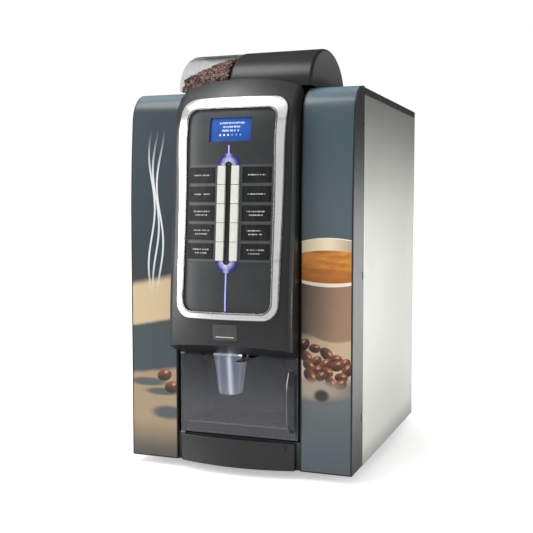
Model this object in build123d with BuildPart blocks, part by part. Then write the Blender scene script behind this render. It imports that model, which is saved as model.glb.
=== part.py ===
from build123d import *
from math import cos, radians, sin, sqrt
import os

# A counter-top hot-drinks vending machine, 450 mm wide.
# X runs across the machine, -Y is the front, +Z is up.
# The origin is on the counter, at the centre of the machine's outer box.

# ---- Outer sizes (mm) ----
BODY_WIDTH = 450.0
BODY_HEIGHT = 717.5
BODY_DEPTH = 560.0
FOOT_HEIGHT = 15.0
FASCIA_BULGE = 61.0
HALF = BODY_WIDTH / 2
BOTTOM = FOOT_HEIGHT
ROOF = FOOT_HEIGHT + BODY_HEIGHT
REAR = (BODY_DEPTH + FASCIA_BULGE) / 2
DOOR_FRONT = REAR - BODY_DEPTH
DOOR_DEPTH = 79.5
DOOR_REAR = DOOR_FRONT + DOOR_DEPTH
CABINET_FRONT = DOOR_REAR + 2.5
SHEET = 2.0
TRIM_HEIGHT = 15.0
SPACER_X = 190.0
SPACER_Z = 680.0
SPACER_RADIUS = 10.0

# ---- Door side outline ----
LEAN_ANGLE = 5.2
LEAN_RADIUS = 2550.0
ROLL_RADIUS = 60.0
ROLL_RISE = ROLL_RADIUS * (1 - sin(radians(LEAN_ANGLE)))
LEAN_START = ROOF - ROLL_RISE - LEAN_RADIUS * sin(radians(LEAN_ANGLE))
DOOR_BOTTOM = BOTTOM + 1.0
COLUMN_INNER = 126.0
COLUMN_SKIN = 4.5
DOOR_WALL = 3.5
GRAPHIC_SKIN = 1.0
GRAPHIC_EDGE = 2.5
PAN_FRONT = -217.0
PAN_RIB_FRONT = -228.0
PAN_RIB_TOP = 690.0
DOOR_WINDOW_TOP = 300.0

# ---- Bowed fascia ----
# Its front is turned about a vertical axis behind the centre; each pair is (height, radius).
BOW_AXIS = 170.0
BOW_HALF_ANGLE = 20.0
BOW_LINE = [(205, 474), (305, 480.5), (412, 472.5), (576, 460)]
BOW_LINE += [(687, 443), (722, 418), (752, 389), (785, 350)]
FASCIA_HALF = 124.0
FASCIA_WALL = 3.0
FASCIA_CORNER = 18.0
FASCIA_TOP_END = -219.5
CHIN_REAR = -247.0
CHIN_ROOT = 230.0
CHIN_SLOPE = 0.4
FASCIA_REAR = -180.0
FASCIA_Z = (150.0, 780.0)
FIT_GAP = 0.2
PAST = 400.0  # longer than anything it has to cut through

# ---- Control panel ----
BEZEL_LOW = 301.5
BEZEL_HIGH = 714.0
BEZEL_HALF_LOW = 101.0
BEZEL_HALF_HIGH = 108.0
BEZEL_CORNER = 30.0
BEZEL_PROUD = 4.0
BEZEL_ROUND = 2.5
PANEL_LOW = 316.0
PANEL_HIGH = 691.0
PANEL_HALF = 87.0
PANEL_CORNER = 19.0
PANEL_DEEP = 1.5
PANEL_WALL = 3.0
DISPLAY_REAR = 12.0
DISPLAY_LAP = 5.0
GUIDE_LAP = 1.0
GUIDE_END = 2.0
LABEL_DEEP = 0.2
LABEL_HOLDER_DEEP = 0.8
HOLDER_LIP = 2.0
DISPLAY_HALF = 41.0
DISPLAY_LOW = 629.0
DISPLAY_HIGH = 673.0
BUTTON_ROWS = 5
BUTTON_PITCH = 35.0
BUTTON_GAP = 0.8
BUTTON_INNER = 5.9
BUTTON_OUTER = 21.2
BAND_LOW = 410.0
BAND_HIGH = BAND_LOW + BUTTON_ROWS * BUTTON_PITCH
BUTTON_PROUD = 2.0
BUTTON_THICK = 8.0
BUTTON_ROUND = 0.8
GUIDE_RADIUS = 21.7
GUIDE_DEEP = 0.3
SLOT_HALF = 5.4
TICK_HIGH = 622.0
LINE_HALF = 1.3
LABEL_INNER = 27.0
LABEL_OUTER = 81.5
LABEL_HEIGHT = 29.0

# Two spacers keep the rear off the wall; they stand as far back as the bezel stands forward.
SPACER_END = max(radius for _, radius in BOW_LINE) + BEZEL_PROUD - BOW_AXIS

# ---- Cup bay ----
BAY_HALF = 119.0
BAY_FRONT = -242.0
BAY_REAR = -120.0
BAY_LOW = 71.0
BAY_HIGH = 237.0
BAY_WALL = 3.0
BAY_CORNER = 12.0
CUP_DOOR_HALF = 118.5
CUP_DOOR_LOW = 74.0
CUP_DOOR_HIGH = 224.5
CUP_DOOR_PLATE = 4.0
CUP_HINGE = (-115.0, -246.5)
CUP_PIN = 2.0
CUP_BARREL = 3.5
CUP_LUG_PLAY = 0.6
CUP_LUG_HIGH = 3.3
RUNNING = 0.05
CUP_X = -38.0
CUP_Y = -190.0
CUP_RIM = 220.0
CUP_RADIUS = 35.0
FORK_OUTER = 46.0
FORK_POST = 4.0
FORK_OPEN = 30.0
FORK_Z = (CUP_RIM - 8.0, CUP_RIM - 5.0)
SILL_HIGH = 68.0
SILL_HALF = 115.5
SILL_BOW_LOW = 17.0
SILL_BOW_HIGH = 10.0
SILL_PROUD = 3.0
SILL_DEEP = 7.0
SILL_ROUND = 2.0
SILL_HOLLOW_X = 100.0
SILL_SKIN = 6.0
BAY_WINDOW_X = (-75.0, 62.0)
BAY_WINDOW_FRONT = -215.0
GRIP_INNER = 102.0
GRIP_FRONT = -262.0
GRIP_REAR = -230.0
GRIP_Z = (102.0, 180.0)
GRIP_TAPER = (42.0, 60.0)
GRIP_CORNER = 14.0
GRIP_ROUND = 3.0
SCOOP_X = (92.0, 101.0, 119.0)
SCOOP_Z = (170.0, 206.0)
SCOOP_DEPTH = 2.5
TRAY_HALF = 112.0
TRAY_Y = (-238.0, -126.0)
TRAY_TOP = 90.0
TRAY_CORNER = 8.0
TRAY_SKIN = 2.0
GRILLE_THICK = 2.5
GRILLE_PITCH = (11.0, 44.0)
GRILLE_SLOTS = (18, 2)
GRILLE_SLOT = (5.0, 36.0)

# ---- Dome on the roof ----
DOME_HALF = 136.0
DOME_SPLIT = -31.0
DOME_CENTRE = -102.0
DOME_LONG = 114.0
DOME_BASE = ROOF + 1.5
DOME_RISE = 82.0
DOME_WALL = 3.0
LID_ROUND = 6.0
COVER_ROUND = 6.5
LID_AXIS = (16.5, ROOF + 5.5)
LID_PIN = 2.0
LID_BARRELS = (-84.0, 52.0)
LID_LUGS = (-103.5, -64.5, 32.5, 71.5)

# ---- Door hinge ----
HINGE_X = 219.5
HINGE_Y = DOOR_REAR - 6.5
KNUCKLE = 5.0
KNUCKLE_HEIGHTS = (110.0, 380.0, 650.0)
KNUCKLE_HALF = 7.5
EAR = 8.0
HINGE_PIN = 2.5
LOCK_Y = -205.0
LOCK_Z = 400.0
LOCK_RADIUS = 9.0
LOCK_CAM = 45.0

# ---- Inside the cabinet ----
FOOT_X = 190.0
FOOT_MIDDLE_Y = 65.0
FOOT_SPREAD_Y = 410.0
FOOT_STEM = 5.0
PAN_DEEP = 14.0
REAR_GAP = 3.0
RECESS_X = 120.0
RECESS_HALF = 61.0
RECESS_DEEP = 36.0
RECESS_Z = (58.0, 142.0)
LOUVRE_X = 110.0
LOUVRE_HALF = 45.0
LOUVRE_ROWS = 10
LOUVRE_LOW = 520.0
LOUVRE_PITCH = 12.0
LOUVRE_HIGH = 5.0
ROOF_ROUND = 4.0
ROOF_SKIN = 3.0
INLET_RADIUS = 13.2
INLET_BORE = 8.0
INLET_FLANGE = 18.0
INLET_X = RECESS_X - 25.0
INLET_Y = REAR - 34.0
INLET_Z = 100.0
INLET_LONG = 28.0
BULKHEAD_Y = 118.0
HOPPER_X = -84.0
HOPPER_Y = -80.0
HOPPER_WIDE = 92.0
HOPPER_DEEP = 160.0
HOPPER_FOOT = 640.0
HOPPER_OUTLET = 34.0
HOPPER_CORNER = 6.0
HOPPER_RIM_X = (-132.0, -38.0)
HOPPER_RIM_Y = (-210.0, 6.0)
HEAP_X = -130.0
HEAP_LONG = 90.0
HEAP_INSET = 8.0
HEAP_SLOPE = ((-140.0, 752.0), (-30.0, 815.0), (-140.0, 815.0))
GRINDER_X = -95.0
GRINDER_Y = -80.0
GRINDER_HEAD = (580.0, 636.0, 36.0)
GRINDER_MOTOR = (500.0, 581.0, 30.0)
GROUNDS_CHUTE = 14.0
GROUNDS_CHUTE_Z = (486.0, 590.0, 625.0)
BREW_X = -150.0
BREW_Y = -85.0
BREW_HALF_X = 50.0
BREW_HALF_Y = 55.0
BREW_Z = (330.0, 480.0)
BREW_CORNER = 8.0
BREW_BORE_Z = 395.0
BREW_OPENING_Z = (350.0, 460.0)
PISTON_RADIUS = 22.0
PISTON_ROD = 6.0
PISTON_Z = 398.0
PISTON_THICK = 14.0
PISTON_ROD_Z = 318.0
BUCKET_X = (-212.0, -30.0)
BUCKET_Y = (-110.0, 60.0)
BUCKET_Z = (BOTTOM + 16.0, 250.0)
BUCKET_CORNER = 10.0
BOILER_Y = 215.0
BOILER_LOW = 40.0
# name, place across, radius, top
BOILERS = (("espresso_boiler", -150.0, 38.0, 240.0), ("instant_boiler", -20.0, 55.0, 290.0))
PUMP_X = (60.0, 120.0, 144.0)
PUMP_Y = 190.0
PUMP_Z = 180.0
PUMP_RADII = (26.0, 20.0)
CANISTER_X = (-25.0, 41.0, 107.0, 173.0)
CANISTER_WIDE = 60.0
CANISTER_Y = (24.0, 116.0)
CANISTER_Z = (490.0, 700.0)
AUGER_Z = 508.0
CANISTER_SHELF_X = (-60.0, 208.0)
POWDER_LOW = 530.0
AUGER_RADIUS = 9.0
AUGER_TURNS = 9
AUGER_PITCH = 10.0
AUGER_BLADE = 1.6
AUGER_TILT = 0.25
MIXER_X = (41.0, 107.0)
MIXER_Y = 10.0
MIXER_Z = 412.0
MIXER_CHAMBER = 20.0
MIXER_DEEP = 40.0
MIXER_OUTLET = 5.0
FUNNEL_Z = 446.0
FUNNEL_HIGH = 36.0
FUNNEL_RADII = (17.0, 27.0)
MOTOR_Y = 60.0
MOTOR_RADIUS = 22.0
MOTOR_NOSE = 9.0
WHIPPER_RADIUS = 14.0
VANE_RING = 10.5
VANES = 6
SHAFT = 3.0
TURRET_X = 85.0
TURRET_Y = -75.0
TUBE_RING = 43.8
TUBE_RADIUS = 37.5
TURRET_Z = (500.0, 712.0)
TURRET_CORE = 12.0
TURRET_SPIGOT = 4.0
TUBE_SKIN = 1.5
DROP_ANGLE = 210.0
DROPPER_X = (2.0, 170.0)
DROPPER_Y = (-158.0, 10.0)
DROPPER_ARM_Y = (-60.0, 0.0)
DROPPER_Z = (488.0, 494.0)
DROPPER_RING = 44.0
DROPPER_BORE = 38.0
CHUTE_END = (20.0, -118.0, 262.0)
CHUTE_RADIUS = 40.0
SPOUT_X = (-54.0, -22.0)
SPOUT_Y = (-206.0, -166.0)
SPOUT_Z = (240.0, 256.0)
SPOUT_CORNER = 5.0
NOZZLE_X = (-46.0, -38.0, -30.0)
NOZZLE_RADIUS = 3.0
NOZZLE_LONG = 9.0
HOSE_RADIUS = 4.6
HOSE_START_Z = 248.0
# where each hose bends on its way back and up to its mixer
HOSE_BENDS = (((-47.0, -110.0, 262.0), (0.0, -38.0, 330.0)), ((-31.0, -112.0, 262.0), (24.0, -30.0, 330.0)))

FRONT_SKETCH = Plane.XZ.offset(180)
FRONT_REACH = 140.0

os.makedirs("parts", exist_ok=True)


def write(builder, name):
    """Labels a finished piece and writes its STEP file."""
    builder.part.label = name
    export_step(builder.part, f"parts/{name}.step")


def slab(x_span, y_span, z_span, mode=Mode.ADD):
    """A block between three pairs of limits."""
    spans = (x_span, y_span, z_span)
    centre = [(low + high) / 2 for low, high in spans]
    size = [high - low for low, high in spans]
    with Locations(tuple(centre)):
        Box(*size, mode=mode)


def rod(start, direction, radius, length, mode=Mode.ADD):
    """A cylinder that starts at a point and runs along a direction."""
    with Locations(Plane(origin=start, z_dir=direction)):
        Cylinder(radius, length, align=(Align.CENTER, Align.CENTER, Align.MIN), mode=mode)


def door_outline(inset, low):
    """The door's side outline, upright then leaning back and rolled over the top."""
    with BuildSketch() as outline:
        with BuildLine():
            front = Line((DOOR_FRONT + inset, low), (DOOR_FRONT + inset, LEAN_START))
            lean = JernArc(front @ 1, (0, 1), LEAN_RADIUS - inset, -LEAN_ANGLE)
            roll = JernArc(lean @ 1, lean % 1, ROLL_RADIUS - inset, LEAN_ANGLE - 90)
            top = Line(roll @ 1, (DOOR_REAR, (roll @ 1).Y))
            rear = Line(top @ 1, (DOOR_REAR, low))
            Line(rear @ 1, front @ 0)
        make_face()
    return outline.sketch


def bowed_sheet(proud, deep):
    """A sheet that follows the fascia's bowed front, from proud before it to deep behind it."""
    turn = radians(BOW_HALF_ANGLE)
    outwards = Vector(sin(turn), -cos(turn), 0)
    start_plane = Plane(origin=(0, BOW_AXIS, 0), x_dir=outwards, z_dir=outwards.cross(Vector(0, 0, 1)))
    with BuildPart() as sheet:
        with BuildSketch(start_plane):
            with BuildLine():
                outer = Spline(*[(radius + proud, height) for height, radius in BOW_LINE])
                inner = Spline(*[(radius - deep, height) for height, radius in BOW_LINE])
                Line(outer @ 0, inner @ 0)
                Line(outer @ 1, inner @ 1)
            make_face()
        revolve(axis=Axis((0, BOW_AXIS, 0), (0, 0, -1)), revolution_arc=2 * BOW_HALF_ANGLE)
    return sheet.part


def fascia_block(inset):
    """The solid block under the fascia's skin, moved inwards by inset, with rolled side edges."""
    bulk = bowed_sheet(-inset, 200)
    with BuildPart() as block:
        add(bulk)
        side = FASCIA_HALF - inset
        slab((-side, side), (-PAST, FASCIA_REAR), FASCIA_Z, mode=Mode.INTERSECT)
        with BuildSketch(Plane.YZ.offset(-PAST)):
            root = CHIN_ROOT + inset
            rear, front = DOOR_FRONT + 100, DOOR_FRONT - 100
            with BuildLine():
                chin = Line((rear, root - 100 * CHIN_SLOPE), (front, root + 100 * CHIN_SLOPE))
                Polyline(chin @ 1, (front, 0), (rear, 0), chin @ 0)
            make_face()
        extrude(amount=2 * PAST, mode=Mode.SUBTRACT)
        upright = block.edges().filter_by(lambda e: e.length > BEZEL_HIGH - BEZEL_LOW)
        rolled = [e for e in upright if abs(abs((e @ 0.5).X) - side) < 0.5 and (e @ 0.5).Y < FASCIA_TOP_END]
        fillet(rolled, FASCIA_CORNER - inset)
        end = FASCIA_TOP_END if inset == 0 else FASCIA_REAR
        slab((-PAST, PAST), (end, PAST), (0, 2 * PAST), mode=Mode.SUBTRACT)
    return block.part


def panel_outline(half_low, half_high, low, high, corner):
    """An upright four-sided outline with rounded corners, on the front plane."""
    with BuildSketch(FRONT_SKETCH) as outline:
        with BuildLine():
            Polyline((-half_low, low), (half_low, low), (half_high, high), (-half_high, high), close=True)
        make_face()
        fillet(outline.vertices(), corner)
    return outline.sketch


def front_rectangle(x_span, z_span, mode=Mode.ADD):
    """A rectangle on the front plane between two pairs of limits."""
    with Locations(((x_span[0] + x_span[1]) / 2, (z_span[0] + z_span[1]) / 2)):
        Rectangle(x_span[1] - x_span[0], z_span[1] - z_span[0], mode=mode)


def keep_front(mode=Mode.INTERSECT):
    """Carries the pending front sketch through the bowed sheets."""
    extrude(amount=FRONT_REACH, mode=mode)


def mirrored(builder):
    """The same piece on the other side of the machine."""
    with BuildPart() as other:
        mirror(builder.part, about=Plane.YZ)
    return other


# ---- Fascia and bezel ----
fascia_outer = fascia_block(0)
fascia_inner = fascia_block(FASCIA_WALL)
with BuildPart() as fascia:
    add(fascia_outer)
    add(fascia_inner, mode=Mode.SUBTRACT)
    slab((-HALF, HALF), (CHIN_REAR, DOOR_REAR), (0, BEZEL_LOW), mode=Mode.SUBTRACT)
    outline = panel_outline(BEZEL_HALF_LOW, BEZEL_HALF_HIGH, BEZEL_LOW, BEZEL_HIGH, BEZEL_CORNER)
    extrude(outline, amount=FRONT_REACH, mode=Mode.SUBTRACT)
write(fascia, "fascia")

bezel_sheet = bowed_sheet(BEZEL_PROUD, FASCIA_WALL)
with BuildPart() as bezel:
    add(bezel_sheet)
    outline = panel_outline(BEZEL_HALF_LOW, BEZEL_HALF_HIGH, BEZEL_LOW, BEZEL_HIGH, BEZEL_CORNER)
    extrude(outline, amount=FRONT_REACH, mode=Mode.INTERSECT)
    outline = panel_outline(PANEL_HALF, PANEL_HALF, PANEL_LOW, PANEL_HIGH, PANEL_CORNER)
    extrude(outline, amount=FRONT_REACH, mode=Mode.SUBTRACT)
    fillet(bezel.faces().sort_by(Axis.Y)[0].edges(), BEZEL_ROUND)
write(bezel, "bezel")

# ---- Control panel, with its display, labels and light guides ----
panel_sheet = bowed_sheet(-PANEL_DEEP, PANEL_DEEP + PANEL_WALL)
with BuildPart() as control_panel:
    add(panel_sheet)
    panel_edge = PANEL_HALF - FIT_GAP
    outline = panel_outline(panel_edge, panel_edge, PANEL_LOW + FIT_GAP, PANEL_HIGH - FIT_GAP, PANEL_CORNER)
    extrude(outline, amount=FRONT_REACH, mode=Mode.INTERSECT)
    with BuildSketch(FRONT_SKETCH):
        front_rectangle((-DISPLAY_HALF, DISPLAY_HALF), (DISPLAY_LOW, DISPLAY_HIGH))
        front_rectangle((-GUIDE_RADIUS, -SLOT_HALF), (BAND_LOW, BAND_HIGH))
        front_rectangle((SLOT_HALF, GUIDE_RADIUS), (BAND_LOW, BAND_HIGH))
    keep_front(Mode.SUBTRACT)
write(control_panel, "control_panel")

holder_sheet = bowed_sheet(-LABEL_HOLDER_DEEP, PANEL_DEEP)
with BuildPart() as label_holder:
    add(holder_sheet)
    with BuildSketch(FRONT_SKETCH):
        for side in (-1, 1):
            across = sorted((side * (GUIDE_RADIUS + 2 * FIT_GAP), side * panel_edge))
            front_rectangle(across, (BAND_LOW - HOLDER_LIP, BAND_HIGH + HOLDER_LIP))
    keep_front()
write(label_holder, "label_holder")

label_sheet = bowed_sheet(-LABEL_DEEP, LABEL_HOLDER_DEEP)
with BuildPart() as label_cards:
    add(label_sheet)
    with BuildSketch(FRONT_SKETCH):
        for side in (-1, 1):
            across = sorted((side * LABEL_INNER, side * LABEL_OUTER))
            for row in range(BUTTON_ROWS):
                middle = BAND_LOW + (row + 0.5) * BUTTON_PITCH
                front_rectangle(across, (middle - LABEL_HEIGHT / 2, middle + LABEL_HEIGHT / 2))
    keep_front()
write(label_cards, "label_cards")

guide_sheet = bowed_sheet(-GUIDE_DEEP, PANEL_DEEP)
with BuildPart() as light_guides:
    add(guide_sheet)
    with BuildSketch(FRONT_SKETCH):
        with Locations((0, BAND_HIGH), (0, BAND_LOW)):
            Circle(GUIDE_RADIUS)
            Circle(SLOT_HALF, mode=Mode.SUBTRACT)
        front_rectangle((-HALF, HALF), (BAND_LOW, BAND_HIGH), mode=Mode.SUBTRACT)
        front_rectangle((-LINE_HALF, LINE_HALF), (BAND_HIGH + GUIDE_RADIUS - GUIDE_LAP, TICK_HIGH))
        line_high = BAND_LOW - GUIDE_RADIUS + GUIDE_LAP
        front_rectangle((-LINE_HALF, LINE_HALF), (PANEL_LOW + GUIDE_END, line_high))
    keep_front()
write(light_guides, "light_guides")

display_sheet = bowed_sheet(-PANEL_DEEP - PANEL_WALL, DISPLAY_REAR)
with BuildPart() as display_module:
    add(display_sheet)
    with BuildSketch(FRONT_SKETCH):
        module_half = DISPLAY_HALF + DISPLAY_LAP
        front_rectangle((-module_half, module_half), (DISPLAY_LOW - DISPLAY_LAP, DISPLAY_HIGH + DISPLAY_LAP))
    keep_front()
write(display_module, "display_module")

# ---- Selection buttons, one piece each, in two columns ----
def bow_front(height, across):
    """Where the fascia's front surface stands, between the heights of its bow line."""
    for (low, low_radius), (high, high_radius) in zip(BOW_LINE, BOW_LINE[1:]):
        if low <= height <= high:
            radius = low_radius + (high_radius - low_radius) * (height - low) / (high - low)
            return BOW_AXIS - sqrt(radius**2 - across**2)


button_middle = (BUTTON_INNER + BUTTON_OUTER) / 2
for side_name, side in (("left", -1), ("right", 1)):
    button_x = min(side * BUTTON_INNER, side * BUTTON_OUTER)
    for row in range(BUTTON_ROWS):
        low = BAND_HIGH - (row + 1) * BUTTON_PITCH + BUTTON_GAP / 2
        high = low + BUTTON_PITCH - BUTTON_GAP
        low_y = bow_front(low, button_middle) - BUTTON_PROUD
        high_y = bow_front(high, button_middle) - BUTTON_PROUD
        with BuildPart() as button:
            with BuildSketch(Plane.YZ.offset(button_x)):
                with BuildLine():
                    face = Line((low_y, low), (high_y, high))
                    Polyline(face @ 1, (high_y + BUTTON_THICK, high), (low_y + BUTTON_THICK, low), face @ 0)
                make_face()
            extrude(amount=BUTTON_OUTER - BUTTON_INNER)
            fillet(button.faces().sort_by(Axis.Y)[0].edges(), BUTTON_ROUND)
        write(button, f"button_{side_name}_{row + 1}")

# ---- Printed graphic panels and the black columns that hold them ----
with BuildPart() as graphic_right:
    with BuildSketch(Plane.YZ.offset(COLUMN_INNER + GRAPHIC_EDGE)):
        add(door_outline(0, DOOR_BOTTOM + GRAPHIC_EDGE))
        add(door_outline(GRAPHIC_SKIN, DOOR_BOTTOM + GRAPHIC_EDGE), mode=Mode.SUBTRACT)
    extrude(amount=HALF - COLUMN_INNER - 2 * GRAPHIC_EDGE)
    slab((0, HALF), (DOOR_REAR - GRAPHIC_EDGE, PAST), (0, 2 * PAST), mode=Mode.SUBTRACT)
with BuildPart() as graphic_panels:
    add(graphic_right.part)
    mirror(graphic_right.part, about=Plane.YZ)
write(graphic_panels, "graphic_panels")

with BuildPart() as column_right:
    with BuildSketch(Plane.YZ.offset(COLUMN_INNER)):
        add(door_outline(0, DOOR_BOTTOM))
        add(door_outline(COLUMN_SKIN, DOOR_BOTTOM), mode=Mode.SUBTRACT)
    extrude(amount=HALF - COLUMN_INNER)
    add(graphic_right.part, mode=Mode.SUBTRACT)
with BuildPart() as door_columns:
    add(column_right.part)
    mirror(column_right.part, about=Plane.YZ)
write(door_columns, "door_columns")

# ---- Door frame: a sheet pan with side cheeks, knuckle pockets and a lock hole ----
with BuildPart() as door_frame:
    with BuildSketch(Plane.YZ.offset(-HALF)):
        add(door_outline(COLUMN_SKIN, DOOR_BOTTOM))
    extrude(amount=BODY_WIDTH)
    with BuildSketch(Plane.YZ.offset(-HALF + DOOR_WALL)):
        add(door_outline(COLUMN_SKIN + DOOR_WALL, DOOR_BOTTOM + SHEET))
        with Locations((DOOR_REAR, ROOF / 2)):
            Rectangle(2 * SHEET, 2 * ROOF, mode=Mode.SUBTRACT)
    extrude(amount=BODY_WIDTH - 2 * DOOR_WALL, mode=Mode.SUBTRACT)
    slab((-COLUMN_INNER, COLUMN_INNER), (-PAST, PAN_FRONT), (SILL_HIGH + 1, ROOF), mode=Mode.SUBTRACT)
    window_x = (-BAY_HALF - 3, BAY_HALF + 3)
    slab(window_x, (DOOR_REAR - 3, DOOR_REAR + 1), (SILL_HIGH + 1, DOOR_WINDOW_TOP), Mode.SUBTRACT)
    for side in (-1, 1):
        rib = sorted((side * COLUMN_INNER, side * (COLUMN_INNER + SHEET)))
        slab(rib, (PAN_RIB_FRONT, DOOR_REAR - SHEET), (DOOR_BOTTOM + SHEET, PAN_RIB_TOP))
    for height in KNUCKLE_HEIGHTS:
        pocket = KNUCKLE_HALF + 0.5
        ear = (HINGE_Y - KNUCKLE - 1, DOOR_REAR - SHEET)
        pocket_span = (height - pocket, height + pocket)
        slab((HINGE_X - 6, HALF + 1), (HINGE_Y - 6, DOOR_REAR + 1), pocket_span, Mode.SUBTRACT)
        for ear_span in ((height - pocket - EAR, height - pocket), (height + pocket, height + pocket + EAR)):
            slab((HINGE_X - 6, HALF - DOOR_WALL), ear, ear_span)
        ear_foot = (HINGE_X, HINGE_Y, height - pocket - EAR - 1)
        rod(ear_foot, (0, 0, 1), HINGE_PIN + RUNNING, 2 * (pocket + EAR + 1), Mode.SUBTRACT)
    rod((-HALF - 1, LOCK_Y, LOCK_Z), (1, 0, 0), LOCK_RADIUS + RUNNING, DOOR_WALL + 2, Mode.SUBTRACT)
    slab((-208, -198), (DOOR_REAR - 3, DOOR_REAR + 1), (LOCK_Z - 8, LOCK_Z + 40), Mode.SUBTRACT)
write(door_frame, "door_frame")

with BuildPart() as door_lock:
    rod((-HALF, LOCK_Y, LOCK_Z), (1, 0, 0), LOCK_RADIUS, 20)
    slab((-205, -202), (LOCK_Y - 6, LOCK_Y + LOCK_CAM), (LOCK_Z - 5, LOCK_Z + 5))
    slab((-HALF - 1, -HALF + 6), (LOCK_Y - 0.8, LOCK_Y + 0.8), (LOCK_Z - 3.5, LOCK_Z + 3.5), Mode.SUBTRACT)
write(door_lock, "door_lock")

# ---- Lower panel, bowed forwards and fuller at its foot ----
def sill_section(height, bow, inset):
    """A shallow bow-fronted outline at one height."""
    half = SILL_HALF - inset
    rear = DOOR_FRONT - SILL_PROUD + SILL_DEEP
    front = DOOR_FRONT - SILL_PROUD + inset
    with BuildSketch(Plane.XY.offset(height)) as section:
        with BuildLine():
            bowed = ThreePointArc((-half, front), (0, front - bow), (half, front))
            Polyline(bowed @ 1, (half, rear), (-half, rear), bowed @ 0)
        make_face()
    return section.sketch


with BuildPart() as lower_panel:
    loft([sill_section(BOTTOM + 1, SILL_BOW_LOW, 0), sill_section(SILL_HIGH, SILL_BOW_HIGH, 0)])
    front_face = lower_panel.faces().sort_by(Axis.Y)[0]
    fillet(front_face.edges().sort_by(Axis.Z)[-1], SILL_ROUND)
    hollow_y = (DOOR_FRONT - SILL_SKIN, DOOR_FRONT + SILL_DEEP)
    slab((-SILL_HOLLOW_X, SILL_HOLLOW_X), hollow_y, (BOTTOM, SILL_HIGH - SILL_SKIN), Mode.SUBTRACT)
write(lower_panel, "lower_panel")

# ---- Cup bay and what stands in it ----
with BuildPart() as cup_niche:
    slab((-BAY_HALF, BAY_HALF), (BAY_FRONT, BAY_REAR), (BAY_LOW, BAY_HIGH))
    inner_half = BAY_HALF - BAY_WALL
    inner_z = (BAY_LOW + BAY_WALL, BAY_HIGH - BAY_WALL)
    slab((-inner_half, inner_half), (BAY_FRONT - 1, BAY_REAR - BAY_WALL), inner_z, Mode.SUBTRACT)
    uprights = cup_niche.edges().filter_by(Axis.Z)
    fillet(uprights.filter_by(lambda e: abs((e @ 0.5).Y - BAY_REAR + BAY_WALL) < 0.1), BAY_CORNER)
    slab(BAY_WINDOW_X, (BAY_WINDOW_FRONT, BAY_REAR + 1), (BAY_HIGH - 9, BAY_HIGH + 1), Mode.SUBTRACT)
    hinge_x, hinge_y = CUP_HINGE
    lug_x = (-BAY_HALF, hinge_x + 5)
    lug_y = (hinge_y - 3.5, hinge_y + 8)
    lug_foot = CUP_DOOR_HIGH + CUP_LUG_PLAY
    for low, high in ((BAY_LOW - 2, CUP_DOOR_LOW - CUP_LUG_PLAY), (lug_foot, lug_foot + CUP_LUG_HIGH)):
        slab(lug_x, lug_y, (low, high))
        rod((hinge_x, hinge_y, low - 1), (0, 0, 1), CUP_PIN + RUNNING, high - low + 2, Mode.SUBTRACT)
write(cup_niche, "cup_niche")

with BuildPart() as door_grip:
    with BuildSketch(Plane.YZ.offset(GRIP_INNER)) as grip_side:
        grip_low, grip_high = GRIP_Z
        with BuildLine():
            front = Line((GRIP_FRONT, grip_low), (GRIP_FRONT, grip_high))
            rear = Line((GRIP_REAR, grip_high + GRIP_TAPER[1]), (GRIP_REAR, grip_low - GRIP_TAPER[0]))
            Line(front @ 1, rear @ 0)
            Line(rear @ 1, front @ 0)
        make_face()
        fillet(grip_side.vertices().filter_by(lambda v: v.X < GRIP_REAR - 1), GRIP_CORNER)
    extrude(amount=CUP_DOOR_HALF - GRIP_INNER)
    fillet(door_grip.edges().filter_by(lambda e: abs((e @ 0).X - (e @ 1).X) < 0.1), GRIP_ROUND)
    slab((0, HALF), (DOOR_FRONT + 1, 0), (0, PAST), Mode.SUBTRACT)

with BuildPart() as cup_door:
    plate_y = (DOOR_FRONT, DOOR_FRONT + CUP_DOOR_PLATE)
    slab((-CUP_DOOR_HALF, CUP_DOOR_HALF), plate_y, (CUP_DOOR_LOW, CUP_DOOR_HIGH))
    with BuildSketch(Plane.XZ.offset(-DOOR_FRONT)):
        with BuildLine():
            scoop_inner, scoop_foot, scoop_outer = SCOOP_X
            top = Line((scoop_inner, CUP_DOOR_HIGH + 1), (scoop_outer, CUP_DOOR_HIGH + 1))
            Polyline(top @ 1, (scoop_outer, SCOOP_Z[1]), (scoop_foot, SCOOP_Z[0]), top @ 0)
        make_face()
    extrude(amount=-SCOOP_DEPTH, mode=Mode.SUBTRACT)
    add(door_grip.part)
    rod((*CUP_HINGE, CUP_DOOR_LOW), (0, 0, 1), CUP_BARREL, CUP_DOOR_HIGH - CUP_DOOR_LOW)
    rod((*CUP_HINGE, CUP_DOOR_LOW - 4.5), (0, 0, 1), CUP_PIN, CUP_DOOR_HIGH - CUP_DOOR_LOW + 8.2)
write(cup_door, "cup_door")

with BuildPart() as cup_holder:
    past_fork = (FORK_Z[0] - 1, FORK_Z[1] + 1)
    slab((CUP_X - FORK_OUTER, CUP_X + FORK_OUTER), (CUP_Y - FORK_OUTER, CUP_Y + FORK_OUTER - 6), FORK_Z)
    rod((CUP_X, CUP_Y, past_fork[0]), (0, 0, 1), CUP_RADIUS - 1.2, 6, Mode.SUBTRACT)
    slab((CUP_X - FORK_OPEN, CUP_X + FORK_OPEN), (CUP_Y - FORK_OUTER - 1, CUP_Y), past_fork, Mode.SUBTRACT)
    for side in (-1, 1):
        post = sorted((CUP_X + side * (FORK_OUTER - FORK_POST), CUP_X + side * FORK_OUTER))
        slab(post, (CUP_Y - FORK_OUTER, CUP_Y - FORK_OPEN), (FORK_Z[0], BAY_HIGH - BAY_WALL))
write(cup_holder, "cup_holder")

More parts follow.
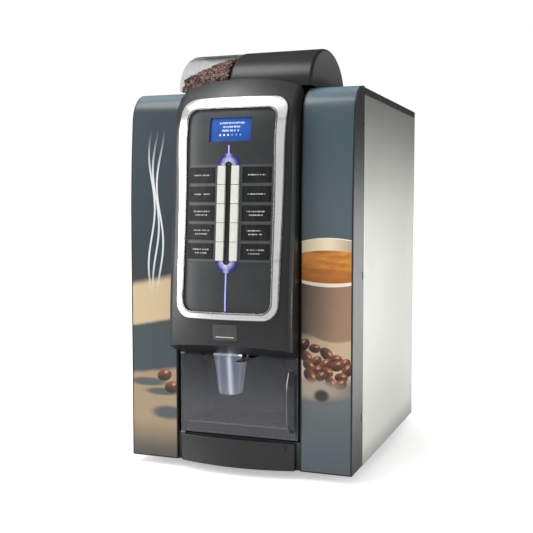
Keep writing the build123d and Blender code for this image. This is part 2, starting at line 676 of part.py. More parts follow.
with BuildPart() as drip_tray:
    tray_x = (-TRAY_HALF, TRAY_HALF)
    slab(tray_x, TRAY_Y, (BAY_LOW + BAY_WALL + 0.3, TRAY_TOP))
    fillet(drip_tray.edges().filter_by(Axis.Z), TRAY_CORNER)
    offset(amount=-TRAY_SKIN, openings=drip_tray.faces().sort_by(Axis.Z)[-1])
write(drip_tray, "drip_tray")

with BuildPart() as drip_grille:
    slab((-TRAY_HALF, TRAY_HALF), TRAY_Y, (TRAY_TOP, TRAY_TOP + GRILLE_THICK))
    fillet(drip_grille.edges().filter_by(Axis.Z), TRAY_CORNER)
    with Locations(Plane.XY.offset(TRAY_TOP)):
        with Locations((0, (TRAY_Y[0] + TRAY_Y[1]) / 2)):
            with GridLocations(*GRILLE_PITCH, *GRILLE_SLOTS):
                Box(*GRILLE_SLOT, 3 * GRILLE_THICK, mode=Mode.SUBTRACT)
write(drip_grille, "drip_grille")

# ---- Cabinet shell ----
with BuildPart() as side_panel_right:
    slab((HALF - SHEET, HALF), (CABINET_FRONT, REAR), (BOTTOM, ROOF - TRIM_HEIGHT))
    fillet(side_panel_right.edges().filter_by(Axis.Z).filter_by(lambda e: (e @ 0).X > HALF - 0.1), 1.2)
write(side_panel_right, "side_panel_right")
side_panel_left = mirrored(side_panel_right)
write(side_panel_left, "side_panel_left")

inside = HALF - SHEET - FIT_GAP
with BuildPart() as base_pan:
    pan_y = (CABINET_FRONT + 1, REAR - REAR_GAP)
    hollow_y = (pan_y[0] + SHEET, pan_y[1] - SHEET)
    slab((-inside, inside), pan_y, (BOTTOM, BOTTOM + PAN_DEEP))
    slab((-inside + SHEET, inside - SHEET), hollow_y, (BOTTOM + SHEET, ROOF), Mode.SUBTRACT)
    with Locations((0, FOOT_MIDDLE_Y, BOTTOM)):
        with GridLocations(2 * FOOT_X, FOOT_SPREAD_Y, 2, 2):
            Cylinder(FOOT_STEM + 0.2, 10, mode=Mode.SUBTRACT)
write(base_pan, "base_pan")

with BuildPart() as levelling_feet:
    with BuildSketch(Plane.XZ):
        with BuildLine():
            Polyline(
                (0, 0), (17, 0), (18, 1.5), (16, 8), (9, 9.5), (9, 14.5), (FOOT_STEM, 14.5),
                (FOOT_STEM, 17.5), (9, 17.5), (9, 23), (FOOT_STEM, 23), (FOOT_STEM, 34), (0, 34), close=True,
            )
        make_face()
    revolve(axis=Axis.Z)
foot_shape = levelling_feet.part
with BuildPart() as levelling_feet:
    with Locations((0, FOOT_MIDDLE_Y, 0)):
        with GridLocations(2 * FOOT_X, FOOT_SPREAD_Y, 2, 2):
            add(foot_shape)
write(levelling_feet, "levelling_feet")

with BuildPart() as rear_panel:
    rear_y = (REAR - REAR_GAP, REAR - REAR_GAP + SHEET)
    slab((-inside, inside), rear_y, (BOTTOM + FIT_GAP, ROOF - TRIM_HEIGHT - FIT_GAP))
    slab((RECESS_X - RECESS_HALF, RECESS_X + RECESS_HALF), (REAR - RECESS_DEEP, rear_y[1]), RECESS_Z)
    recess_x = (RECESS_X - RECESS_HALF + SHEET, RECESS_X + RECESS_HALF - SHEET)
    recess_z = (RECESS_Z[0] + SHEET, RECESS_Z[1] - SHEET)
    slab(recess_x, (REAR - RECESS_DEEP + SHEET, REAR), recess_z, Mode.SUBTRACT)
    for side in (-1, 1):
        louvre_x = (side * LOUVRE_X - LOUVRE_HALF, side * LOUVRE_X + LOUVRE_HALF)
        for row in range(LOUVRE_ROWS):
            low = LOUVRE_LOW + row * LOUVRE_PITCH
            slab(louvre_x, (REAR - 2 * REAR_GAP, REAR), (low, low + LOUVRE_HIGH), Mode.SUBTRACT)
        rod((side * SPACER_X, REAR - 2, SPACER_Z), (0, 1, 0), SPACER_RADIUS, SPACER_END - REAR + 2)
write(rear_panel, "rear_panel")

with BuildPart() as roof_frame:
    slab((-HALF, HALF), (CABINET_FRONT, REAR), (ROOF - TRIM_HEIGHT, ROOF))
    fillet(roof_frame.edges().filter_by(lambda e: (e @ 0.5).Z > ROOF - 0.1), ROOF_ROUND)
    under_roof = (ROOF - TRIM_HEIGHT - 1, ROOF - ROOF_SKIN)
    roof_y = (CABINET_FRONT + ROOF_SKIN, REAR - ROOF_SKIN)
    slab((-HALF + ROOF_SKIN, HALF - ROOF_SKIN), roof_y, under_roof, Mode.SUBTRACT)
    slab((-DOME_HALF + 4, DOME_SPLIT - 5), (CABINET_FRONT + 4, 4), (ROOF - 5, ROOF + 1), Mode.SUBTRACT)
    slab((DOME_SPLIT + 5, DOME_HALF - 6), (CABINET_FRONT + 4, 4), (ROOF - 5, ROOF + 1), Mode.SUBTRACT)
    axis_y, axis_z = LID_AXIS
    for lug_x in LID_LUGS:
        slab((lug_x - 3, lug_x + 3), (axis_y - 4, axis_y + 4), (ROOF - 1, axis_z))
        rod((lug_x - 3, axis_y, axis_z), (1, 0, 0), 4, 6)
        rod((lug_x - 4, axis_y, axis_z), (1, 0, 0), LID_PIN + RUNNING, 8, Mode.SUBTRACT)
write(roof_frame, "roof_frame")

with BuildPart() as hinge_knuckles:
    for height in KNUCKLE_HEIGHTS:
        span = (height - KNUCKLE_HALF, height + KNUCKLE_HALF)
        rod((HINGE_X, HINGE_Y, span[0]), (0, 0, 1), KNUCKLE, 2 * KNUCKLE_HALF)
        rod((HINGE_X, HINGE_Y, span[0] - EAR), (0, 0, 1), HINGE_PIN, 2 * (KNUCKLE_HALF + EAR))
        slab((HINGE_X - 2, HINGE_X + 2), (HINGE_Y, CABINET_FRONT + 5), span)
        slab((HINGE_X - 2, HALF - SHEET), (CABINET_FRONT + 1, CABINET_FRONT + 40), span)
write(hinge_knuckles, "hinge_knuckles")

with BuildPart() as bulkhead:
    slab((-inside + 3, inside - 3), (BULKHEAD_Y, BULKHEAD_Y + SHEET), (BOTTOM + 15, 712))
    shelf_z = (CANISTER_Z[0] - SHEET, CANISTER_Z[0])
    slab(CANISTER_SHELF_X, (CANISTER_Y[0] - 4, BULKHEAD_Y), shelf_z)
    slab(CANISTER_SHELF_X, (CANISTER_Y[0] - 4, CANISTER_Y[0] - 2.5), (shelf_z[0] - 12, shelf_z[1]))
write(bulkhead, "bulkhead")

# ---- Dome on the roof: a clear hopper lid and a black cup cover ----
def half_ellipse(inset):
    """The dome's side outline, standing on its base line."""
    with BuildSketch() as outline:
        with BuildLine():
            middle = (DOME_CENTRE, DOME_BASE)
            arch = EllipticalCenterArc(middle, DOME_LONG - inset, DOME_RISE - inset, arc_size=180)
            Line(arch @ 1, arch @ 0)
        make_face()
    return outline.sketch


def dome_shell(x_span, inset, end_round, barrel_x):
    """One section of the dome with closed ends and a barrel for its hinge."""
    low, high = x_span
    axis_y, axis_z = LID_AXIS
    with BuildPart() as shell:
        with BuildSketch(Plane.YZ.offset(low)):
            add(half_ellipse(inset))
        extrude(amount=high - low)
        ends = shell.edges().filter_by(GeomType.ELLIPSE)
        fillet(ends, end_round)
        with BuildSketch(Plane.YZ.offset(low + DOME_WALL)):
            add(half_ellipse(inset + DOME_WALL))
        extrude(amount=high - low - 2 * DOME_WALL, mode=Mode.SUBTRACT)
        slab((-HALF, HALF), (DOME_CENTRE - 200, DOME_CENTRE + 200), (0, DOME_BASE), Mode.SUBTRACT)
        web_y = (DOME_CENTRE + DOME_LONG - 3, axis_y)
        slab((barrel_x - 15, barrel_x + 15), web_y, (DOME_BASE + 1.5, axis_z + 1))
        rod((barrel_x - 15, axis_y, axis_z), (1, 0, 0), 4, 30)
        rod((barrel_x - 22, axis_y, axis_z), (1, 0, 0), LID_PIN, 44)
    return shell


hopper_lid = dome_shell((-DOME_HALF, DOME_SPLIT - 2), 1.0, LID_ROUND, LID_BARRELS[0])
write(hopper_lid, "hopper_lid")
dome_cover = dome_shell((DOME_SPLIT, DOME_HALF), 0.0, COVER_ROUND, LID_BARRELS[1])
write(dome_cover, "dome_cover")

# ---- Bean hopper, beans and grinder ----
def hopper_core(shrink, high):
    """The tapered inside of the hopper, from its outlet up to a height."""
    sections = []
    outlet = (HOPPER_FOOT, HOPPER_OUTLET, HOPPER_OUTLET, GRINDER_X)
    for height, wide, deep, x in (outlet, (high, HOPPER_WIDE, HOPPER_DEEP, HOPPER_X)):
        with BuildSketch(Plane.XY.offset(height)) as section:
            with Locations((x, HOPPER_Y)):
                RectangleRounded(wide - shrink, deep - shrink, HOPPER_CORNER)
        sections.append(section.sketch)
    loft(sections)


hopper_top = ROOF + 0.8
with BuildPart() as hopper_hollow:
    hopper_core(4, hopper_top)
    slab((HOPPER_X - 44, HOPPER_X + 44), (HOPPER_Y - 78, HOPPER_Y + 78), (hopper_top - 0.1, hopper_top + 3))
    rod((GRINDER_X, HOPPER_Y, HOPPER_FOOT - 10), (0, 0, 1), HOPPER_OUTLET / 2 - 2, 14)
with BuildPart() as bean_hopper:
    hopper_core(0, hopper_top)
    slab(HOPPER_RIM_X, HOPPER_RIM_Y, (hopper_top, hopper_top + SHEET))
    rod((GRINDER_X, HOPPER_Y, HOPPER_FOOT - 4), (0, 0, 1), HOPPER_OUTLET / 2, 6)
    add(hopper_hollow.part, mode=Mode.SUBTRACT)
write(bean_hopper, "bean_hopper")

with BuildPart() as coffee_beans:
    hopper_core(7, hopper_top)
    slab((HOPPER_X - 42, HOPPER_X + 42), (HOPPER_Y - 76, HOPPER_Y + 76), (hopper_top - 0.1, hopper_top + 2.2))
    with BuildSketch(Plane.YZ.offset(HEAP_X)):
        add(half_ellipse(HEAP_INSET))
        with Locations((DOME_CENTRE, DOME_BASE)):
            Rectangle(PAST, 2 * (hopper_top + 2.1 - DOME_BASE), mode=Mode.SUBTRACT)
    extrude(amount=HEAP_LONG)
    with BuildSketch(Plane.XZ.offset(-50)):
        with BuildLine():
            Polyline(*HEAP_SLOPE, close=True)
        make_face()
    extrude(amount=PAST, mode=Mode.SUBTRACT)
write(coffee_beans, "coffee_beans")

with BuildPart() as grinder:
    foot, top, radius = GRINDER_HEAD
    rod((GRINDER_X, GRINDER_Y, foot), (0, 0, 1), radius, top - foot)
    fillet(grinder.edges().filter_by(GeomType.CIRCLE), 4)
    foot, top, radius = GRINDER_MOTOR
    rod((GRINDER_X, GRINDER_Y, foot), (0, 0, 1), radius, top - foot)
    chute_y = (GRINDER_Y - GROUNDS_CHUTE, GRINDER_Y + GROUNDS_CHUTE)
    chute_end, chute_foot, chute_high = GROUNDS_CHUTE_Z
    slab((BREW_X - 12, GRINDER_X), chute_y, (chute_foot, chute_high))
    slab((BREW_X - 12, BREW_X + GROUNDS_CHUTE), chute_y, (chute_end, chute_high))
write(grinder, "grinder")

# ---- Espresso group ----
with BuildPart() as brew_unit:
    slab((BREW_X - BREW_HALF_X, BREW_X + BREW_HALF_X), (BREW_Y - BREW_HALF_Y, BREW_Y + BREW_HALF_Y), BREW_Z)
    fillet(brew_unit.edges().filter_by(Axis.Z), BREW_CORNER)
    rod((BREW_X, BREW_Y, BREW_BORE_Z), (0, 0, 1), PISTON_RADIUS, 90, Mode.SUBTRACT)
    rod((BREW_X, BREW_Y, BREW_Z[0] - 5), (0, 0, 1), PISTON_ROD + RUNNING, 75, Mode.SUBTRACT)
    opening_x = (BREW_X - BREW_HALF_X - 1, BREW_X - 30)
    slab(opening_x, (BREW_Y - 40, BREW_Y + 40), BREW_OPENING_Z, Mode.SUBTRACT)
write(brew_unit, "brew_unit")

with BuildPart() as brew_piston:
    rod((BREW_X, BREW_Y, PISTON_Z), (0, 0, 1), PISTON_RADIUS - RUNNING, PISTON_THICK)
    rod((BREW_X, BREW_Y, PISTON_ROD_Z), (0, 0, 1), PISTON_ROD, PISTON_Z - PISTON_ROD_Z + 1)
write(brew_piston, "brew_piston")

with BuildPart() as grounds_bucket:
    slab(BUCKET_X, BUCKET_Y, BUCKET_Z)
    fillet(grounds_bucket.edges().filter_by(Axis.Z), BUCKET_CORNER)
    offset(amount=-SHEET, openings=grounds_bucket.faces().sort_by(Axis.Z)[-1])
write(grounds_bucket, "grounds_bucket")

# ---- Boilers and pump, behind the bulkhead ----
for name, boiler_x, radius, high in BOILERS:
    with BuildPart() as boiler:
        rod((boiler_x, BOILER_Y, BOILER_LOW), (0, 0, 1), radius, high - BOILER_LOW)
        fillet(boiler.edges().filter_by(GeomType.CIRCLE), 6)
        rod((boiler_x, BOILER_Y, high - 12), (0, 0, 1), radius + 6, 8)
        rod((boiler_x, BOILER_Y, high - 5), (0, 0, 1), 7, 25)
        rod((boiler_x, BOILER_Y, BOTTOM + SHEET), (0, 0, 1), 14, 30)
        rod((boiler_x + radius / 2, BOILER_Y, high - 5), (0, 0, 1), 4, 18)
    write(boiler, name)

with BuildPart() as pump:
    start, joint, end = PUMP_X
    rod((start, PUMP_Y, PUMP_Z), (1, 0, 0), PUMP_RADII[0], joint - start)
    rod((joint, PUMP_Y, PUMP_Z), (1, 0, 0), PUMP_RADII[1], end - joint)
    fillet(pump.edges().filter_by(GeomType.CIRCLE), 2)
    rod(((joint + end) / 2, PUMP_Y, PUMP_Z + 10), (0, 0, 1), 4, 24)
    slab((start + 5, joint - 10), (BULKHEAD_Y + SHEET, PUMP_Y - 10), (PUMP_Z - 8, PUMP_Z + 8))
write(pump, "pump")

# ---- Powder canisters and augers ----
with BuildPart() as canisters:
    for x in CANISTER_X:
        across = (x - CANISTER_WIDE / 2, x + CANISTER_WIDE / 2)
        within = (across[0] + SHEET, across[1] - SHEET)
        slab(across, CANISTER_Y, CANISTER_Z)
        rod((x, CANISTER_Y[0] - 16, AUGER_Z), (0, 1, 0), AUGER_RADIUS + 2.5, 17)
        powder_y = (CANISTER_Y[0] + SHEET, CANISTER_Y[1] - SHEET)
        slab(within, powder_y, (POWDER_LOW, CANISTER_Z[1] - SHEET), Mode.SUBTRACT)
        rod((x, CANISTER_Y[0] - 17, AUGER_Z), (0, 1, 0), AUGER_RADIUS + 0.8, 105, Mode.SUBTRACT)
        slab((x - 9, x + 9), (CANISTER_Y[0] + 4, CANISTER_Y[1] - 8), (AUGER_Z, POWDER_LOW + 1), Mode.SUBTRACT)
        rod((x, CANISTER_Y[1] - 10, AUGER_Z), (0, 1, 0), SHAFT + RUNNING, 12, Mode.SUBTRACT)
write(canisters, "canisters")

for number, x in enumerate(CANISTER_X):
    with BuildPart() as auger:
        rod((x, CANISTER_Y[0] - 12, AUGER_Z), (0, 1, 0), SHAFT, 106)
        for turn in range(AUGER_TURNS):
            blade_y = CANISTER_Y[0] - 6 + turn * AUGER_PITCH
            with Locations(Plane(origin=(x, blade_y, AUGER_Z), z_dir=(AUGER_TILT, 1, 0))):
                Cylinder(AUGER_RADIUS - 0.6, AUGER_BLADE)
    write(auger, f"auger_{number + 1}")

# ---- Mixing bowls, whippers, motors, hoses and the spout head ----
with BuildPart() as mixing_bowls:
    for x in MIXER_X:
        rod((x, MIXER_Y - 18, MIXER_Z), (0, 1, 0), MIXER_CHAMBER, MIXER_DEEP)
        with Locations((x, MIXER_Y, FUNNEL_Z)):
            Cone(*FUNNEL_RADII, FUNNEL_HIGH)
        rod((x, MIXER_Y - 18, MIXER_Z - 12), (0, -1, 0), MIXER_OUTLET, 6)
        rod((x, MIXER_Y - 16, MIXER_Z), (0, 1, 0), MIXER_CHAMBER - 2, MIXER_DEEP - 4, Mode.SUBTRACT)
        with Locations((x, MIXER_Y, FUNNEL_Z + 1)):
            Cone(FUNNEL_RADII[0] - 3.5, FUNNEL_RADII[1] - 2, FUNNEL_HIGH + 2, mode=Mode.SUBTRACT)
        rod((x, MIXER_Y - 10, MIXER_Z - 12), (0, -1, 0), MIXER_OUTLET - 1.5, 16, Mode.SUBTRACT)
        rod((x, MIXER_Y + 18, MIXER_Z), (0, 1, 0), SHAFT + RUNNING, 6, Mode.SUBTRACT)
write(mixing_bowls, "mixing_bowls")

with BuildPart() as mixer_motors:
    for x in MIXER_X:
        rod((x, MOTOR_Y, MIXER_Z), (0, 1, 0), MOTOR_RADIUS, BULKHEAD_Y - MOTOR_Y)
        rod((x, MOTOR_Y - 6, MIXER_Z), (0, 1, 0), MOTOR_NOSE, 7)
        rod((x, MOTOR_Y - 7, MIXER_Z), (0, 1, 0), SHAFT + RUNNING, 14, Mode.SUBTRACT)
write(mixer_motors, "mixer_motors")

for number, x in enumerate(MIXER_X):
    with BuildPart() as whipper:
        rod((x, MIXER_Y - 8, MIXER_Z), (0, 1, 0), SHAFT, 64)
        rod((x, MIXER_Y - 10, MIXER_Z), (0, 1, 0), WHIPPER_RADIUS, 4)
        with Locations(Plane(origin=(x, MIXER_Y - 4, MIXER_Z), z_dir=(0, 1, 0))):
            with PolarLocations(VANE_RING, VANES):
                Box(5, 2, 6)
    write(whipper, f"whipper_{number + 1}")

with BuildPart() as spout_head:
    slab(SPOUT_X, SPOUT_Y, SPOUT_Z)
    fillet(spout_head.edges().filter_by(Axis.Z), SPOUT_CORNER)
    for x in NOZZLE_X:
        rod((x, CUP_Y + 4, SPOUT_Z[0] + 1), (0, 0, -1), NOZZLE_RADIUS, NOZZLE_LONG)
write(spout_head, "spout_head")

with BuildPart() as mixer_hoses:
    for start_x, bends, mixer_x in zip((NOZZLE_X[0], NOZZLE_X[-1]), HOSE_BENDS, MIXER_X):
        start = (start_x, SPOUT_Y[1], HOSE_START_Z)
        end = (mixer_x, MIXER_Y - 24, MIXER_Z - 12)
        with BuildLine():
            hose = Spline(start, *bends, end, tangents=((0, 1, 0), (0, 1, 0)))
        with BuildSketch(Plane(origin=hose @ 0, z_dir=hose % 0)):
            Circle(HOSE_RADIUS)
        sweep(path=hose)
write(mixer_hoses, "mixer_hoses")

# ---- Cup turret and its dropper ----
with BuildPart() as cup_turret:
    tube_height = TURRET_Z[1] - TURRET_Z[0]
    with Locations((TURRET_X, TURRET_Y, (TURRET_Z[0] + TURRET_Z[1]) / 2)):
        with PolarLocations(TUBE_RING, 3, start_angle=DROP_ANGLE - 120):
            Cylinder(TUBE_RADIUS, tube_height)
        Cylinder(TURRET_CORE, tube_height)
        with PolarLocations(TUBE_RING, 3, start_angle=DROP_ANGLE - 120):
            Cylinder(TUBE_RADIUS - TUBE_SKIN, tube_height + 2, mode=Mode.SUBTRACT)
    rod((TURRET_X, TURRET_Y, TURRET_Z[0] - 10), (0, 0, 1), TURRET_SPIGOT, 12)
write(cup_turret, "cup_turret")

drop_x = TURRET_X + TUBE_RING * cos(radians(DROP_ANGLE))
drop_y = TURRET_Y + TUBE_RING * sin(radians(DROP_ANGLE))
with BuildPart() as cup_dropper:
    ring_low = DROPPER_Z[0] - 18
    slab(DROPPER_X, DROPPER_Y, DROPPER_Z)
    slab((DROPPER_X[1] - 5, inside), DROPPER_ARM_Y, DROPPER_Z)
    rod((drop_x, drop_y, ring_low), (0, 0, 1), DROPPER_RING, 20)
    chute_top = Vector(drop_x, drop_y, ring_low + 4)
    chute_run = Vector(*CHUTE_END) - chute_top
    rod(chute_top, chute_run, CHUTE_RADIUS, chute_run.length)
    rod(chute_top, chute_run, CHUTE_RADIUS - SHEET, chute_run.length + 1, Mode.SUBTRACT)
    rod((drop_x, drop_y, ring_low - 5), (0, 0, 1), DROPPER_BORE, 40, Mode.SUBTRACT)
    spigot_foot = (TURRET_X, TURRET_Y, DROPPER_Z[0] - 8)
    rod(spigot_foot, (0, 0, 1), TURRET_SPIGOT + RUNNING, 20, Mode.SUBTRACT)
write(cup_dropper, "cup_dropper")

with BuildPart() as water_inlet:
    rod((INLET_X, INLET_Y, INLET_Z), (0, 1, 0), INLET_FLANGE, 5)
    rod((INLET_X, INLET_Y, INLET_Z), (0, 1, 0), INLET_RADIUS, INLET_LONG)
    rod((INLET_X, INLET_Y + INLET_LONG / 2, INLET_Z), (0, 1, 0), INLET_BORE, INLET_LONG, Mode.SUBTRACT)
write(water_inlet, "water_inlet")
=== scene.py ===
import math
import random

import bmesh
import bpy
import numpy as np
from mathutils import Matrix, Vector


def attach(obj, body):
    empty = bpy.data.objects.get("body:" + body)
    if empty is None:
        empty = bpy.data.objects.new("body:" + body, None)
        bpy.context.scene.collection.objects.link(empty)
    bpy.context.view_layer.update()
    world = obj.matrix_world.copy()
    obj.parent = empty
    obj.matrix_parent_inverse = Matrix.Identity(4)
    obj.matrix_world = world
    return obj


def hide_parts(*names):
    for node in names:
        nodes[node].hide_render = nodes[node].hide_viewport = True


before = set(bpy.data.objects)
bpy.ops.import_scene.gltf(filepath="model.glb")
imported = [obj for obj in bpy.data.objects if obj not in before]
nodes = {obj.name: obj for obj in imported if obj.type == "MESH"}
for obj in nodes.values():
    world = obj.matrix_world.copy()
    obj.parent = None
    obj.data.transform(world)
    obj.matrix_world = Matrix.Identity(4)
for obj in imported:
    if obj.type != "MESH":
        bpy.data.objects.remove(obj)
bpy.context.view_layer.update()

MM = 0.001

EDGE_SAMPLES = 2
WEAR_AND_GLINT_PATCH = 0.006
BEND_FLAT = 0.995
BEND_SHARP = 0.8
COAT_ROUGHNESS = 0.08


# ---- Shader building ----
def shade(red, green, blue):
    """A screen colour, 0 to 255 a channel, as the linear colour that nodes work in (the sRGB curve)."""
    linear = []
    for channel in (red, green, blue):
        value = channel / 255
        linear.append(value / 12.92 if value <= 0.04045 else ((value + 0.055) / 1.055) ** 2.4)
    return (*linear, 1.0)


def scaled(colour, factor):
    """A colour made brighter or darker."""
    return (*(min(1.0, channel * factor) for channel in colour[:3]), 1.0)


class Field:
    """A number at each point of a surface, held as the socket of a shader node."""

    def __init__(self, shader, socket):
        self.shader = shader
        self.socket = socket

    def math(self, operation, *others):
        node = self.shader.add("ShaderNodeMath", operation=operation)
        for slot, value in enumerate((self, *others)):
            self.shader.feed(node.inputs[slot], value)
        return Field(self.shader, node.outputs[0])

    def __add__(self, other):
        return self.math("ADD", other)

    def __sub__(self, other):
        return self.math("SUBTRACT", other)

    def __mul__(self, other):
        return self.math("MULTIPLY", other)

    def __truediv__(self, other):
        return self.math("DIVIDE", other)

    def absolute(self):
        return self.math("ABSOLUTE")

    def sine(self):
        return self.math("SINE")

    def wrapped(self, period):
        """The distance from the middle of a cell, where cells repeat with a period."""
        return self.math("FLOORED_MODULO", period) - period / 2

    def rise(self, low, high):
        """0 below low, 1 above high and smooth between; low above high turns it round."""
        node = self.shader.add("ShaderNodeMapRange", interpolation_type="SMOOTHSTEP")
        for slot, value in enumerate((self, low, high)):
            self.shader.feed(node.inputs[slot], value)
        return Field(self.shader, node.outputs[0])

    def within(self, half, soft):
        """1 where the value is nearer to zero than half, with a soft edge."""
        return self.absolute().rise(half + soft / 2, half - soft / 2)


class Shader:
    """One procedural material. Its places are object coordinates at rest: x, y and z in metres, and
    across, ahead and up the same in millimetres."""

    def __init__(self, name):
        self.material = bpy.data.materials.new(name)
        self.material.use_nodes = True
        self.tree = self.material.node_tree
        self.tree.nodes.clear()
        self.output = self.add("ShaderNodeOutputMaterial")
        self.place = self.add("ShaderNodeTexCoord").outputs["Object"]
        split = self.add("ShaderNodeSeparateXYZ")
        self.feed(split.inputs[0], self.place)
        self.x, self.y, self.z = (Field(self, socket) for socket in split.outputs)
        self.across, self.ahead, self.up = self.x / MM, self.y / MM, self.z / MM

    def add(self, kind, **settings):
        node = self.tree.nodes.new(kind)
        for key, value in settings.items():
            setattr(node, key, value)
        return node

    def feed(self, socket, value):
        if isinstance(value, Field):
            value = value.socket
        if isinstance(value, bpy.types.NodeSocket):
            self.tree.links.new(value, socket)
        else:
            socket.default_value = value

    def turned_right(self):
        """How far the surface turns to the right: 1 facing right, -1 facing left."""
        split = self.add("ShaderNodeSeparateXYZ")
        self.feed(split.inputs[0], self.add("ShaderNodeNewGeometry").outputs["Normal"])
        return Field(self, split.outputs[0])

    def beyond_box(self, middle, half_wide, half_high):
        """How far a place on the front lies outside an upright box in the middle, in millimetres."""
        beside = (self.across.absolute() - half_wide).math("MAXIMUM", 0.0)
        beyond = ((self.up - middle).absolute() - half_high).math("MAXIMUM", 0.0)
        return (beside * beside + beyond * beyond).math("SQRT")

    def noise(self, size, detail=2.0, stretch=(1, 1, 1)):
        """Noise from 0 to 1 with features of a size in metres, drawn out along stretched axes."""
        mapping = self.add("ShaderNodeMapping")
        self.feed(mapping.inputs["Vector"], self.place)
        mapping.inputs["Scale"].default_value = [1 / (size * factor) for factor in stretch]
        node = self.add("ShaderNodeTexNoise")
        self.feed(node.inputs["Vector"], mapping.outputs[0])
        node.inputs["Scale"].default_value = 1.0
        node.inputs["Detail"].default_value = detail
        return Field(self, node.outputs[0])

    def mix(self, first, second, factor):
        """One colour turning into another as the factor goes from 0 to 1."""
        node = self.add("ShaderNodeMix", data_type="RGBA")
        self.feed(node.inputs[0], factor)
        self.feed(node.inputs[6], first)
        self.feed(node.inputs[7], second)
        return node.outputs[2]

    def paint(self, under, *layers):
        """Colours laid over one another; each layer is a colour and its mask."""
        for colour, mask in layers:
            under = self.mix(under, colour, mask)
        return under

    def rounded_normal(self, radius):
        """The surface direction with its edges softened over a radius."""
        node = self.add("ShaderNodeBevel", samples=EDGE_SAMPLES)
        node.inputs["Radius"].default_value = radius
        return node.outputs[0]

    def edge_mask(self, rounded, amount):
        """1 on edges and corners, broken up by noise: it marks wear on most materials and a painted highlight
        on the clear plastics and the light side steel.
        """
        geometry = self.add("ShaderNodeNewGeometry")
        dot = self.add("ShaderNodeVectorMath", operation="DOT_PRODUCT")
        self.feed(dot.inputs[0], rounded)
        self.feed(dot.inputs[1], geometry.outputs["Normal"])
        bend = Field(self, dot.outputs["Value"]).rise(BEND_FLAT, BEND_SHARP)
        return bend * self.noise(WEAR_AND_GLINT_PATCH, 3.0).rise(0.35, 0.65) * amount

    def bumped(self, height, depth, under=None):
        """The surface direction after a relief of a depth in metres."""
        node = self.add("ShaderNodeBump")
        self.feed(node.inputs["Strength"], 1.0)
        self.feed(node.inputs["Distance"], depth)
        self.feed(node.inputs["Height"], height)
        if under is not None:
            self.feed(node.inputs["Normal"], under)
        return node.outputs[0]

    def principled(self, colour, roughness, normal=None, **inputs):
        node = self.add("ShaderNodeBsdfPrincipled")
        self.feed(node.inputs["Base Color"], colour)
        self.feed(node.inputs["Roughness"], roughness)
        if normal is not None:
            self.feed(node.inputs["Normal"], normal)
        for key, value in inputs.items():
            self.feed(node.inputs[key.replace("_", " ")], value)
        return node.outputs[0]

    def blend_shaders(self, first, second, factor):
        node = self.add("ShaderNodeMixShader")
        self.feed(node.inputs[0], factor)
        self.feed(node.inputs[1], first)
        self.feed(node.inputs[2], second)
        return node.outputs[0]

    def done(self, surface):
        self.feed(self.output.inputs["Surface"], surface)
        return self.material


def solid(name, colour, roughness, metal=0.0, vary=0.1, patch=0.05, grain=0.0009, depth=0.00003,
          stretch=(1, 1, 1), soften=0.0008, wear_and_glint=None, wear=0.5, coat=0.0, level=0.5):
    """An opaque material with mottled colour, uneven roughness, surface grain and edges marked by wear."""
    s = Shader(name)
    mottle = s.noise(patch, 4.0).rise(0.3, 0.7)
    base = s.mix(scaled(colour, 1 - vary), scaled(colour, 1 + vary), mottle)
    rounded = s.rounded_normal(soften)
    if wear_and_glint is not None:
        base = s.mix(base, wear_and_glint, s.edge_mask(rounded, wear))
    fine = s.noise(grain, 2.0, stretch)
    smear = s.noise(patch * 0.6, 3.0).rise(0.25, 0.75)
    rough = smear * (roughness * 0.3) + fine * (roughness * 0.2) + roughness * 0.75
    normal = s.bumped(fine, depth, rounded)
    surface = s.principled(
        base, rough, normal, Metallic=metal, Coat_Weight=coat, Coat_Roughness=COAT_ROUGHNESS,
        Specular_IOR_Level=level,
    )
    return s.done(surface)


# the smoked cup door, in millimetres: where its painted shade deepens, the grip on its right edge, the
# painted highlight along the grip's lip and the scoop
DOOR_SHADE_DEEPENS = (110, 225)
GRIP_FROM = (101, 102.5)
GRIP_FRONT = (-250.0, -251.0)
LIP_TO = 104.4
LIP_FOOT = (64, 90)
LIP_HEAD = (226, 190)
LIP_GLINT = 190
SCOOP_FROM = (90, 92)
SCOOP_FRONT = (-248.8, -248.2)
SCOOP_BACK = (-246.2, -246.8)


def smoked_shade(s, body):
    """The cup door's smoke with painted shade deepening towards its top, painted shade over the grip and the
    scoop, and a painted highlight along the grip's lip.
    """
    # painted shade, deeper towards the door's top
    body = s.mix(body, shade(78, 79, 82), s.up.rise(*DOOR_SHADE_DEEPENS))
    grip = s.across.rise(*GRIP_FROM) * s.ahead.rise(*GRIP_FRONT)
    scoop = s.across.rise(*SCOOP_FROM) * s.ahead.rise(*SCOOP_FRONT) * s.ahead.rise(*SCOOP_BACK)
    # painted shade over the grip and the scoop
    body = s.mix(body, shade(30, 31, 32), grip * 0.8 + scoop * 0.6)
    # a painted highlight along the grip's lip, brightest near its top
    lip = s.across.within(LIP_TO, 0.8) * grip * s.up.rise(*LIP_FOOT) * s.up.rise(*LIP_HEAD)
    lit = lip * ((s.up - LIP_GLINT).within(16, 18) * 0.75 + 0.25)
    body = s.mix(body, shade(214, 216, 220), lit)
    return body, 0.0, lit * 0.6 + grip * 0.3 + scoop * 0.35


# the vending cup's place across the front, its painted highlights beside that and the painted bright band
# under its rim, in millimetres, then the painted glow over the whole cup
CUP_MIDDLE = -38
GLEAM_RIGHT = 9
GLEAM_LEFT = -14
CUP_BAND = 204
CUP_GLOW = 0.55


